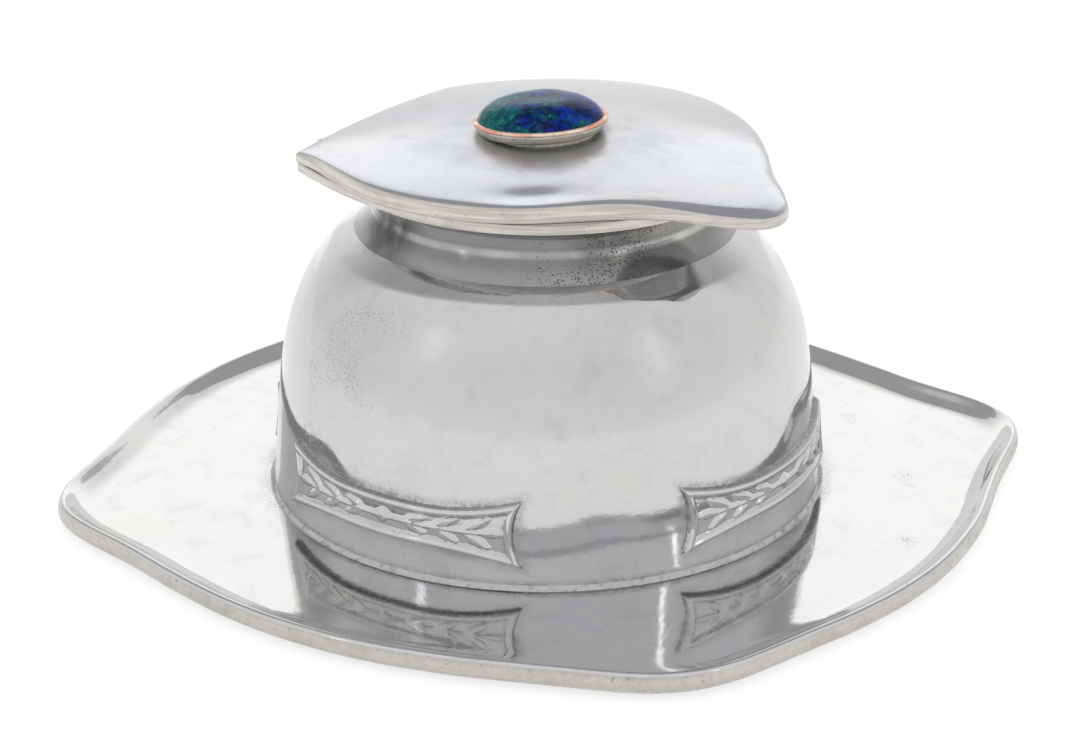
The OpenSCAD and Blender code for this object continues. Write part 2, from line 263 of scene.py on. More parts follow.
class Piece:
    """A mesh in millimetres on its way to becoming one object of the scene."""

    def __init__(self) -> None:
        """Start with an empty mesh."""
        self.bm = bmesh.new()
        self.grime_and_shade = self.bm.verts.layers.float.new("grime_and_shade")
        self.row = self.bm.verts.layers.int.new("row")

    def rings(
        self, rings: list[Ring], steps: int, closed: bool = False, corners: tuple[float, ...] = ()
    ) -> None:
        """Skin a stack of rings by a spin, then move each point to its ring's own place.

        Args:
            rings: One function for each ring, that gives the place at an angle in degrees.
            steps: How many points a ring has.
            closed: Whether the last ring joins the first. Otherwise both end rings are poles.
            corners: Angles to which the nearest points are turned.
        """
        line = []
        for i in range(len(rings)):
            vert = self.bm.verts.new((i + 1.0, 0.0, 0.0))
            vert[self.row] = i
            line.append(vert)
        edges = [self.bm.edges.new(pair) for pair in zip(line, line[1:])]
        if closed:
            edges.append(self.bm.edges.new((line[-1], line[0])))
        bmesh.ops.spin(
            self.bm,
            geom=line + edges,
            cent=(0, 0, 0),
            axis=(0, 0, 1),
            angle=math.radians(FULL_TURN),
            steps=steps,
            use_merge=True,
        )
        step = FULL_TURN / steps
        snapped = {round(c / step) % steps: c for c in corners}
        for vert in self.bm.verts:
            index = round(heading_of(vert.co) / step) % steps
            vert.co = rings[vert[self.row]](snapped.get(index, index * step))
        bmesh.ops.remove_doubles(self.bm, verts=self.bm.verts, dist=0.0005)
        bmesh.ops.recalc_face_normals(self.bm, faces=self.bm.faces)

    def lathe(self, section: Section, steps: int, closed: bool = False) -> None:
        """Turn a section round the Z axis.

        Args:
            section: Pairs of distance from the axis and height.
            steps: How many points each ring has.
            closed: Whether the section is a loop.
        """
        self.rings([level_ring(r, z) for r, z in section], steps, closed)

    def moved(self, matrix: Matrix) -> None:
        """Move the whole mesh by a matrix."""
        bmesh.ops.transform(self.bm, matrix=matrix, verts=self.bm.verts)

    def soil_and_shade(self, amount: Callable[[Vector], float]) -> None:
        """Write how dark each point is, from 0 to 1, into the mesh: dirt, and on the lid and the
        cup painted shade.
        """
        for vert in self.bm.verts:
            vert[self.grime_and_shade] = clamp(amount(vert.co))

    def paint(self, index: int, chosen: Callable[[Face, Vector], bool]) -> None:
        """Give the material with that index to the faces chosen by their face and middle.

        Args:
            index: The index.
            chosen: Says whether a face is chosen.
        """
        for face in self.bm.faces:
            if chosen(face, face.calc_center_median()):
                face.material_index = index

    def place(
        self,
        name: str,
        body: str,
        slot: str,
        finishes: tuple["Finish", ...],
        node: str = "",
        sharp: float = 40.0,
    ) -> None:
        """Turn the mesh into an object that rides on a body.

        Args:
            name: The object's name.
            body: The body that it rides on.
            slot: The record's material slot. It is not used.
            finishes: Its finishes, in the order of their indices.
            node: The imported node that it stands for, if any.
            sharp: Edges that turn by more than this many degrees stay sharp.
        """
        bmesh.ops.scale(self.bm, vec=(MM, MM, MM), verts=self.bm.verts)
        mesh = bpy.data.meshes.new(name)
        self.bm.to_mesh(mesh)
        self.bm.free()
        mesh.attributes.remove(mesh.attributes["row"])
        for face in mesh.polygons:
            face.use_smooth = True
        mesh.set_sharp_from_angle(angle=math.radians(sharp))
        for finish in finishes:
            mesh.materials.append(finish.material())
        thing = in_scene(name, mesh)
        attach(thing, body)
        if node:
            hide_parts(node)
        log.info("%s: %d faces on %s", name, len(mesh.polygons), body)


# Materials ------------------------------------------------------------------------------------


class NodeSheet:
    """Adds and links the nodes of one material, with patterns measured in millimetres."""

    def __init__(self, name: str) -> None:
        """Start an empty node material with millimetre coordinates.

        Args:
            name: The material's name.
        """
        self.material = bpy.data.materials.new(name)
        self.material.use_nodes = True
        self.tree = self.material.node_tree
        self.tree.nodes.clear()
        coords = self.tree.nodes.new("ShaderNodeTexCoord")
        self.mm = self.mapped(coords.outputs["Object"], (1 / MM,) * 3)

    @classmethod
    def over(cls, tree: bpy.types.NodeTree) -> "NodeSheet":
        """Return a sheet for a node tree that is there already, and empty it.

        Args:
            tree: The node tree.

        Returns:
            The sheet.
        """
        sheet = cls.__new__(cls)
        sheet.tree = tree
        tree.nodes.clear()
        return sheet

    def add(self, kind: str, inputs: dict, **settings: str) -> bpy.types.Node:
        """Add a node.

        Args:
            kind: The node's type.
            inputs: Values or output sockets, by the input's name or number.
            settings: The node's own settings.

        Returns:
            The node.
        """
        node = self.tree.nodes.new(kind)
        for key, value in settings.items():
            setattr(node, key, value)
        for key, value in inputs.items():
            if isinstance(value, Socket):
                self.tree.links.new(value, node.inputs[key])
            else:
                node.inputs[key].default_value = value
        return node

    def mapped(self, vector: Socket, scale: tuple, turn: tuple = (0, 0, 0)) -> Socket:
        """Return a vector that is turned by degrees and scaled.

        Args:
            vector: The vector.
            scale: What each axis is multiplied by.
            turn: How far it is turned about each axis.

        Returns:
            The new vector.
        """
        angles = tuple(math.radians(t) for t in turn)
        inputs = {"Vector": vector, "Scale": scale, "Rotation": angles}
        return self.add("ShaderNodeMapping", inputs).outputs["Vector"]

    def noise(
        self,
        size: float,
        detail: float = 2.0,
        rough: float = 0.5,
        warp: float = 0.0,
        vector: Socket | None = None,
    ) -> Socket:
        """Return noise from 0 to 1 whose features measure about size millimetres.

        Args:
            size: The size.
            detail: How many finer layers it has.
            rough: How strong each finer layer is, from 0 to 1.
            warp: How far it is distorted.
            vector: Where to look, or nothing for the place in millimetres.

        Returns:
            The noise.
        """
        inputs = {"Vector": vector or self.mm, "Scale": 1 / size, "Detail": detail}
        inputs |= {"Roughness": rough, "Distortion": warp}
        return self.add("ShaderNodeTexNoise", inputs).outputs["Fac"]

    def cells(self, size: float) -> Socket:
        """Return the distance to the nearest of points that lie about size millimetres apart.

        Args:
            size: The size.

        Returns:
            The distance, where 1 is the size.
        """
        inputs = {"Vector": self.mm, "Scale": 1.6 / size, "Detail": 1.0}
        ragged = self.add("ShaderNodeTexNoise", inputs).outputs["Color"]
        vector = self.vector("MULTIPLY_ADD", ragged, (0.7 * size,) * 3, self.mm).outputs[0]
        inputs = {"Vector": vector, "Scale": 1 / size}
        return self.add("ShaderNodeTexVoronoi", inputs).outputs["Distance"]

    def span(
        self, value: Value, low: float, high: float, to_low: float = 0.0, to_high: float = 1.0
    ) -> Socket:
        """Return value, smoothly mapped from low and high to to_low and to_high."""
        inputs = {0: value, 1: low, 2: high, 3: to_low, 4: to_high}
        return self.add("ShaderNodeMapRange", inputs, interpolation_type="SMOOTHSTEP").outputs[0]

    def patches(self, pattern: tuple, *levels: float) -> Socket:
        """Return patches: a noise of that size, detail, roughness and warp, spanned by levels."""
        return self.span(self.noise(*pattern), *levels)

    def vector(self, operation: str, *values: Socket | Place) -> bpy.types.Node:
        """Add a Vector Math node."""
        return self.add("ShaderNodeVectorMath", dict(enumerate(values)), operation=operation)

    def sum(self, operation: str, first: Value, second: Value) -> Socket:
        """Return the result of a Math node on two values."""
        return self.add("ShaderNodeMath", {0: first, 1: second}, operation=operation).outputs[0]

    def times(self, first: Value, second: Value) -> Socket:
        """Return the product of two values."""
        return self.sum("MULTIPLY", first, second)

    def off(self, value: Value, middle: float) -> Socket:
        """Return how far a value is from a middle, either way."""
        return self.sum("ABSOLUTE", self.sum("SUBTRACT", value, middle), 0.0)

    def away(self, centre: Place) -> Socket:
        """Return the distance from a place, in millimetres."""
        return self.vector("DISTANCE", self.mm, centre).outputs["Value"]

    def height(self) -> Socket:
        """Return the height, in millimetres."""
        return self.add("ShaderNodeSeparateXYZ", {0: self.mm}).outputs["Z"]

    def between(self, share: Value, first: Value, second: Value) -> Socket:
        """Return a number that is mixed from two numbers."""
        inputs = {0: share, 2: first, 3: second}
        return self.add("ShaderNodeMix", inputs, data_type="FLOAT").outputs[0]

    def blend(self, share: Value, first: Tint, second: Tint) -> Socket:
        """Return a colour that is mixed from two colours.

        Args:
            share: How much there is of the second, from 0 to 1.
            first: The first colour.
            second: The second colour.

        Returns:
            The mixed colour.
        """
        made = [(*c, 1.0) if isinstance(c, tuple) else c for c in (first, second)]
        inputs = {0: share, 6: made[0], 7: made[1]}
        return self.add("ShaderNodeMix", inputs, data_type="RGBA").outputs[2]

    def grime_and_shade(self) -> Socket:
        """Return how dark the mesh says that a place is: dirt, and on the lid and the cup painted
        shade.
        """
        return self.add("ShaderNodeAttribute", {}, attribute_name="grime_and_shade").outputs["Fac"]

    def bump(self, height: Socket, rise: float, below: Socket | None = None) -> Socket:
        """Return a normal bent by a height, which is rise millimetres high where it is 1.

        Args:
            height: The height, from 0 to 1.
            rise: What a height of 1 measures, in millimetres.
            below: The normal to bend, where there already is one.

        Returns:
            The bent normal.
        """
        inputs = {"Height": height, "Distance": rise * MM, "Strength": 1.0}
        if below is not None:
            inputs["Normal"] = below
        return self.add("ShaderNodeBump", inputs).outputs["Normal"]

    def surface(
        self, colour: Socket, rough: Value, normal: Socket, more: dict
    ) -> bpy.types.Material:
        """Close the material with a Principled shader and return it.

        Args:
            colour: Its colour.
            rough: Its roughness.
            normal: Its normal.
            more: The shader's other inputs, by name.

        Returns:
            The material.
        """
        inputs = {"Base Color": colour, "Roughness": rough, "Normal": normal} | more
        shader = self.add("ShaderNodeBsdfPrincipled", inputs)
        self.add("ShaderNodeOutputMaterial", {"Surface": shader.outputs[0]})
        return self.material


@dataclass(frozen=True)
class PewterFinish:
    """A pewter surface, from polished to dull. Its sizes and places are in millimetres.

    Args:
        name: The material's name.
        cool: Its main colour.
        warm: The colour of its faint patches.
        dark: The colour of its dirt, of the painted shade that the lid and the cup hold in their
            mesh, of its dark patches and of the bottoms of its pits.
        gloss: Its lowest and highest roughness.
        wave: The height of its slow unevenness.
        scratch: How strongly its scratches show, from 0 to 1.
        pits: How much of it is pitted, from 0 to 1.
        pit_show: How dark its pits are, from 0 to 1.
        pit_centre: Where the pits are thickest, or nothing for everywhere.
        blotch: How strongly it is blotched, from 0 to 1.
        satin_band: Lowest and highest height of a duller band between polished parts, if any.
        satin_middle: Radius of a duller middle, or 0.
        painted_highlight_z: Height of a line painted lighter, a painted highlight that stands in
            for a reflection, or 0.
        less_dark_z: Heights below which it takes a lighter tone and above which its own darker one,
            if any; on the neck that darker tone is partly a painted dark reflection.
        stains_and_shadows: Centre, reach and strength of each dark patch; on the neck the first is
            a painted shadow under the flange, the second patina.
    """

    name: str
    cool: Colour
    warm: Colour
    dark: Colour
    gloss: tuple[float, float]
    wave: float
    scratch: float
    pits: float
    pit_show: float = 0.55
    pit_centre: Place | None = None
    blotch: float = 0.0
    satin_band: tuple[float, float] | None = None
    satin_middle: float = 0.0
    painted_highlight_z: float = 0.0
    less_dark_z: tuple[float, float] | None = None
    stains_and_shadows: tuple[tuple[Place, float, float], ...] = ()

    # Colour of the neck's painted highlight line, which stands in for a reflection.
    PAINTED_HIGHLIGHT = (0.56, 0.555, 0.54)
    # Lighter tone low on the neck, where its painted dark reflection gives way.
    LESS_DARK = (0.31, 0.31, 0.315)
    # Turn in degrees about each axis, and spacing, of each run of scratches.
    SCRATCH_RUNS = (((20, 35, 10), 2.1), ((70, -15, 55), 2.9), ((-40, 60, 120), 3.7))
    SCRATCH_STRETCH = (0.035, 1.0, 1.0)
    SCRATCH_W = 0.006
    PIT_SIZE = 0.62
    FINE_PITS = 0.55
    PIT_REACH = 22.0
    POLISH = 0.25
    # Size, detail, roughness and warp of each noise.
    PATCHES = (26.0, 3.0, 0.55)
    PITTED = (9.0, 2.0)
    CLOUDS = (5.5, 4.0, 0.6, 0.6)
    BLOTCHES = (3.2, 5.0, 0.65, 1.2)
    PATCHINESS = (11.0, 2.0, 0.5)
    LUMPS = (4.0, 4.0, 0.6)
    SPECKLE = (0.8, 3.0, 0.7)
    SHEEN = (7.0, 4.0, 0.6)
    WAVES = (17.0, 1.0, 0.4)
    RIPPLES = (2.4, 3.0, 0.55)

    def scratches(self, sheet: NodeSheet) -> Socket:
        """Return 1 along fine scratches that run in three directions, and 0 elsewhere.

        Args:
            sheet: The material's node sheet.

        Returns:
            The scratches.
        """
        total = None
        for turn, size in self.SCRATCH_RUNS:
            along = sheet.mapped(sheet.mm, self.SCRATCH_STRETCH, turn)
            ridge = sheet.off(sheet.noise(size, 1.0, 0.4, 0.0, along), 0.5)
            line = sheet.span(ridge, 0.0, self.SCRATCH_W, 1.0, 0.0)
            line = sheet.times(line, sheet.patches((14 + size, 1.0), 0.5, 0.66))
            total = line if total is None else sheet.sum("MAXIMUM", total, line)
        return total

    def pitting(self, sheet: NodeSheet) -> Socket:
        """Return 1 in pits of different sizes, and 0 elsewhere.

        Args:
            sheet: The material's node sheet.

        Returns:
            The pits.
        """
        where = sheet.patches(self.PITTED, 0.62 - 0.3 * self.pits, 0.82 - 0.3 * self.pits)
        if self.pit_centre:
            reach = self.PIT_REACH
            near = sheet.span(sheet.away(self.pit_centre), 0.35 * reach, reach, 1.0, 0.12)
            where = sheet.times(where, near)
        size = sheet.times(where, 0.27)
        coarse = sheet.sum("SUBTRACT", size, sheet.cells(self.PIT_SIZE))
        fine = sheet.sum("SUBTRACT", size, sheet.cells(self.PIT_SIZE * self.FINE_PITS))
        return sheet.span(sheet.sum("MAXIMUM", coarse, fine), 0.0, 0.08)

    def worn_and_painted_colour(self, sheet: NodeSheet, blotches: Socket) -> Socket:
        """Return its colour with patches, clouds, a painted highlight line, a lighter low tone and
        dark patches, one of them a painted shadow.

        Args:
            sheet: The material's node sheet.
            blotches: Its blotches, from 0 to 1.

        Returns:
            The colour.
        """
        colour = sheet.blend(sheet.patches(self.PATCHES, 0.46, 0.66), self.cool, self.warm)
        clouds = sheet.patches(self.CLOUDS, 0.48, 0.75, 0.0, 0.6)
        colour = sheet.blend(clouds, colour, shaded(self.cool, 0.86))
        colour = sheet.blend(blotches, colour, shaded(self.cool, 0.45))
        # A band painted lighter as a highlight in place of a reflection, broken into patches.
        if self.painted_highlight_z:
            near = sheet.span(sheet.off(sheet.height(), self.painted_highlight_z), 0.15, 0.9, 1.0, 0.0)
            patchy = sheet.patches(self.PATCHINESS, 0.4, 0.6, 0.45, 1.0)
            colour = sheet.blend(sheet.times(near, patchy), colour, self.PAINTED_HIGHLIGHT)
        # Lower down the colour turns lighter, where the neck's painted dark reflection ends.
        if self.less_dark_z:
            less_dark = sheet.span(sheet.height(), *self.less_dark_z, 1.0, 0.0)
            colour = sheet.blend(less_dark, colour, self.LESS_DARK)
        # Dark patches; the neck's first is a painted shadow under the flange.
        for centre, reach, strength in self.stains_and_shadows:
            near = sheet.span(sheet.away(centre), 0.25 * reach, reach, strength, 0.0)
            lumpy = sheet.patches(self.LUMPS, 0.3, 0.6, 0.5, 1.0)
            colour = sheet.blend(sheet.times(near, lumpy), colour, self.dark)
        return colour

    def sheen(self, sheet: NodeSheet) -> Socket:
        """Return its roughness, with its duller band and middle.

        Args:
            sheet: The material's node sheet.

        Returns:
            The roughness.
        """
        rough = sheet.patches(self.SHEEN, 0.3, 0.75, *self.gloss)
        if self.satin_band:
            start, end = self.satin_band
            rising = sheet.span(sheet.height(), start - 5, start + 5, self.POLISH, 1.0)
            falling = sheet.span(sheet.height(), end - 1.5, end + 1.5, 1.0, self.POLISH)
            rough = sheet.times(rough, sheet.sum("MINIMUM", rising, falling))
        if self.satin_middle:
            level = sheet.vector("MULTIPLY", sheet.mm, (1.0, 1.0, 0.0)).outputs[0]
            away = sheet.vector("LENGTH", level).outputs["Value"]
            duller = sheet.span(away, self.satin_middle, 0.4 * self.satin_middle, 1.0, 2.6)
            rough = sheet.times(rough, duller)
        return rough

    def material(self) -> bpy.types.Material:
        """Build the material.

        Returns:
            The material.
        """
        sheet = NodeSheet(self.name)
        blotches = sheet.patches(self.BLOTCHES, 0.5, 0.62, 0.0, self.blotch)
        colour = self.worn_and_painted_colour(sheet, blotches)
        lines = self.scratches(sheet)
        colour = sheet.blend(sheet.times(lines, 0.4 * self.scratch), colour, shaded(self.cool, 0.5))
        pits = self.pitting(sheet)
        colour = sheet.blend(sheet.times(pits, self.pit_show), colour, self.dark)
        # Darkening from the mesh: dirt, and on the lid and the cup painted shade.
        grime_and_shade = sheet.times(sheet.grime_and_shade(), sheet.patches(self.SPECKLE, 0.3, 0.62, 0.25, 1.0))
        colour = sheet.blend(grime_and_shade, colour, self.dark)
        rough = self.sheen(sheet)
        for fault, dulling in ((pits, 0.15), (grime_and_shade, 0.35), (blotches, 0.2)):
            rough = sheet.sum("ADD", rough, sheet.times(fault, dulling))
        normal = sheet.bump(sheet.noise(*self.WAVES), self.wave)
        normal = sheet.bump(sheet.noise(*self.RIPPLES), 0.012 + 0.05 * self.blotch, normal)
        normal = sheet.bump(sheet.times(lines, -self.scratch), 0.006, normal)
        normal = sheet.bump(sheet.times(pits, -1.0), 0.05, normal)
        return sheet.surface(colour, rough, normal, {"Metallic": 1.0})


@dataclass(frozen=True)
class FiledFinish:
    """A matte edge with fine file lines that run along it.

    Args:
        name: The material's name.
        light: The colour of its high lines.
        deep: The colour between them.
        pitch: How far apart the lines lie, in millimetres.
        rough: Its roughness.
        line_show: How strongly the lines show, from 0 to 1.
        mottle: How strongly it is mottled and pitted, from 0 to 1.
    """

    name: str
    light: Colour
    deep: Colour
    pitch: float
    rough: float
    line_show: float
    mottle: float = 0.0

    SPECK = (0.09, 0.085, 0.08)
    SOOT = (0.03, 0.03, 0.03)
    # Size, detail, roughness and warp of each noise.
    PATCHINESS = (6.0, 3.0, 0.6)
    MOTTLING = (1.1, 5.0, 0.7, 0.5)
    SPECKS = (0.7, 2.0)
    LUMPS = (1.6, 3.0)

    def material(self) -> bpy.types.Material:
        """Build the material.

        Returns:
            The material.
        """
        sheet = NodeSheet(self.name)
        level = sheet.mapped(sheet.mm, (0.03, 0.03, 1.0))
        lines = sheet.noise(self.pitch, 2.0, 0.6, 0.0, level)
        patchy = sheet.noise(*self.PATCHINESS)
        shown = sheet.span(lines, 0.36, 0.64, 1 - self.line_show, 1.0)
        colour = sheet.blend(shown, self.deep, self.light)
        colour = sheet.blend(sheet.span(patchy, 0.5, 0.72, 0.0, 0.4), colour, self.deep)
        mottled = sheet.patches(self.MOTTLING, 0.45, 0.65, 0.0, self.mottle)
        colour = sheet.blend(mottled, colour, shaded(self.deep, 0.62))
        specks = sheet.patches(self.SPECKS, 0.68 - 0.05 * self.mottle, 0.74)
        colour = sheet.blend(sheet.times(specks, 0.5), colour, self.SPECK)
        colour = sheet.blend(sheet.grime_and_shade(), colour, self.SOOT)
        rough = sheet.span(patchy, 0.3, 0.7, self.rough - 0.08, self.rough + 0.1)
        normal = sheet.bump(lines, 0.03 * self.line_show)
        normal = sheet.bump(sheet.noise(*self.LUMPS), 0.05 + 0.05 * self.mottle, normal)
        return sheet.surface(colour, rough, normal, {"Metallic": 1.0})


@dataclass(frozen=True)
class CopperFinish:
    """The bare copper edge of the enamel disc, pinkish, and creamy where it is rubbed."""

    name: str = "bare_copper"
    pink: Colour = (0.83, 0.43, 0.31)
    cream: Colour = (0.9, 0.76, 0.6)
    brown: Colour = (0.2, 0.085, 0.05)

    # Size, detail and roughness of each noise.
    RUBS = (5.0, 2.0)
    STAINS = (0.9, 4.0, 0.7)
    SHEEN = (1.3, 3.0)
    LUMPS = (0.7, 3.0, 0.6)

    def material(self) -> bpy.types.Material:
        """Build the material.

        Returns:
            The material.
        """
        sheet = NodeSheet(self.name)
        colour = sheet.blend(sheet.patches(self.RUBS, 0.45, 0.65), self.pink, self.cream)
        stain = sheet.patches(self.STAINS, 0.56, 0.7, 0.0, 0.75)
        colour = sheet.blend(stain, colour, self.brown)
        rough = sheet.patches(self.SHEEN, 0.3, 0.7, 0.3, 0.48)
        normal = sheet.bump(sheet.noise(*self.LUMPS), 0.05)
        return sheet.surface(colour, rough, normal, {"Metallic": 0.85})


@dataclass(frozen=True)
class EnamelFinish:
    """Blue enamel with clouds of green and violet under a glassy skin."""

    name: str = "blue_enamel"
    deep: Colour = (0.0008, 0.01, 0.06)
    blue: Colour = (0.002, 0.035, 0.46)
    teal: Colour = (0.0015, 0.085, 0.13)
    green: Colour = (0.015, 0.3, 0.17)
    violet: Colour = (0.07, 0.055, 0.24)

    # How much greener it gets along each axis, for each millimetre.
    GREENER = (-0.0045, 0.01, 0.0)
    # Size, detail, roughness and warp of each noise.
    CLOUDS = (3.4, 8.0, 0.78, 0.3)
    DRIFT = (4.4, 8.0, 0.76, 0.2)
    FLECKS = (0.9, 6.0, 0.75, 0.2)
    HAZE = (2.6, 7.0, 0.76, 0.3)
    SWELLS = (3.4,)
    RIPPLES = (0.6,)

    def material(self) -> bpy.types.Material:
        """Build the material.

        Returns:
            The material.
        """
        sheet = NodeSheet(self.name)
        colour = sheet.blend(sheet.patches(self.CLOUDS, 0.46, 0.62), self.deep, self.blue)
        side = sheet.vector("DOT_PRODUCT", sheet.mm, self.GREENER).outputs["Value"]
        drift = sheet.sum("ADD", sheet.noise(*self.DRIFT), side)
        greenish = sheet.span(drift, 0.46, 0.58, 0.0, 0.95)
        colour = sheet.blend(greenish, colour, self.teal)
        flecks = sheet.patches(self.FLECKS, 0.46, 0.66)
        colour = sheet.blend(sheet.times(flecks, greenish), colour, self.green)
        colour = sheet.blend(sheet.patches(self.HAZE, 0.52, 0.72, 0.0, 0.4), colour, self.violet)
        normal = sheet.bump(sheet.noise(*self.SWELLS), 0.12)
        normal = sheet.bump(sheet.noise(*self.RIPPLES), 0.008, normal)
        return sheet.surface(colour, 0.08, normal, {"IOR": 1.18})


@dataclass(frozen=True)
class GlassFinish:
    """The liner's pressed glass, clear and faintly green."""

    name: str = "liner_glass"
    tint: Colour = (0.9, 0.96, 0.94)
    deeper: Colour = (0.8, 0.9, 0.87)

    # Size and detail of each noise.
    STREAKS = (4.0, 3.0)
    SHEEN = (2.0, 3.0)

    def material(self) -> bpy.types.Material:
        """Build the material.

        Returns:
            The material.
        """
        sheet = NodeSheet(self.name)
        streak = sheet.noise(*self.STREAKS, vector=sheet.mapped(sheet.mm, (1.0, 1.0, 0.2)))
        colour = sheet.blend(sheet.span(streak, 0.4, 0.7), self.tint, self.deeper)
        rough = sheet.patches(self.SHEEN, 0.4, 0.7, 0.02, 0.08)
        clear = {"IOR": 1.5, "Transmission Weight": 1.0}
        return sheet.surface(colour, rough, sheet.bump(streak, 0.08), clear)


class Finish(Enum):
    """The finishes of the inkstand."""

    TRAY = PewterFinish(
        "tray_pewter", (0.58, 0.585, 0.595), (0.59, 0.58, 0.565), (0.05, 0.048, 0.046),
        gloss=(0.04, 0.1), wave=0.045, scratch=0.4, pits=0.1,
    )
    DOME = PewterFinish(
        "dome_pewter", (0.58, 0.59, 0.6), (0.6, 0.585, 0.57), (0.08, 0.078, 0.075),
        gloss=(0.24, 0.3), wave=0.035, scratch=0.5, pits=0.75, pit_show=0.22,
        pit_centre=(-40.0, 14.0, 38.0), satin_band=(28.0, 43.0),
        stains_and_shadows=(((-38.0, 16.0, 40.0), 26.0, 0.1), ((-20.0, -34.0, 42.0), 20.0, 0.07)),
    )
    STRAP = PewterFinish(
        "strap_pewter", (0.58, 0.585, 0.59), (0.59, 0.58, 0.565), (0.08, 0.078, 0.075),
        gloss=(0.08, 0.14), wave=0.02, scratch=0.3, pits=0.1, pit_show=0.3,
    )
    LID = PewterFinish(
        "lid_pewter", (0.51, 0.525, 0.55), (0.54, 0.54, 0.54), (0.12, 0.12, 0.12),
        gloss=(0.1, 0.15), wave=0.035, scratch=0.35, pits=0.1, pit_show=0.3, satin_middle=32.0,
    )
    # Dark partly by patina, partly as a painted reflection of the lid's underside;
    # painted_highlight_z is a painted highlight.
    NECK = PewterFinish(
        "neck_pewter", (0.22, 0.22, 0.22), (0.25, 0.24, 0.225), (0.04, 0.04, 0.038),
        gloss=(0.12, 0.18), wave=0.04, scratch=0.2, pits=1.0, pit_show=0.85,
        pit_centre=(-19.6, -25.6, 54.0), painted_highlight_z=52.8, less_dark_z=(49.0, 51.6),
        stains_and_shadows=(((-25.5, 13.0, 54.8), 12.0, 0.9), ((-17.0, -24.0, 55.3), 10.0, 0.5)),
    )
    BRIM = PewterFinish(
        "brim_pewter", (0.72, 0.72, 0.72), (0.72, 0.715, 0.705), (0.1, 0.1, 0.1),
        gloss=(0.4, 0.5), wave=0.03, scratch=0.2, pits=0.2,
    )
    CUP = PewterFinish(
        "cup_pewter", (0.72, 0.69, 0.62), (0.7, 0.64, 0.54), (0.09, 0.08, 0.065),
        gloss=(0.45, 0.58), wave=0.03, scratch=0.2, pits=0.5, blotch=0.25,
    )
    INSIDE = PewterFinish(
        "inside_pewter", (0.36, 0.36, 0.36), (0.36, 0.345, 0.32), (0.025, 0.025, 0.025),
        gloss=(0.34, 0.48), wave=0.05, scratch=0.3, pits=0.4, blotch=0.2,
    )
    SOLDER = PewterFinish(
        "soft_solder", (0.46, 0.46, 0.46), (0.48, 0.47, 0.45), (0.06, 0.06, 0.06),
        gloss=(0.12, 0.2), wave=0.03, scratch=0.2, pits=0.3, blotch=0.15,
    )
    EDGE = FiledFinish("filed_edge", (0.66, 0.62, 0.58), (0.46, 0.43, 0.4), 0.45, 0.36, 0.8)
    RIM = FiledFinish("rubbed_rim", (0.57, 0.545, 0.505), (0.42, 0.4, 0.37), 0.9, 0.36, 0.25, 0.2)
    COPPER = CopperFinish()
    ENAMEL = EnamelFinish()
    GLASS = GlassFinish()

    def material(self) -> bpy.types.Material:
        """Return this finish's material, built once."""
        return bpy.data.materials.get(self.value.name) or self.value.material()


# Tray -----------------------------------------------------------------------------------------


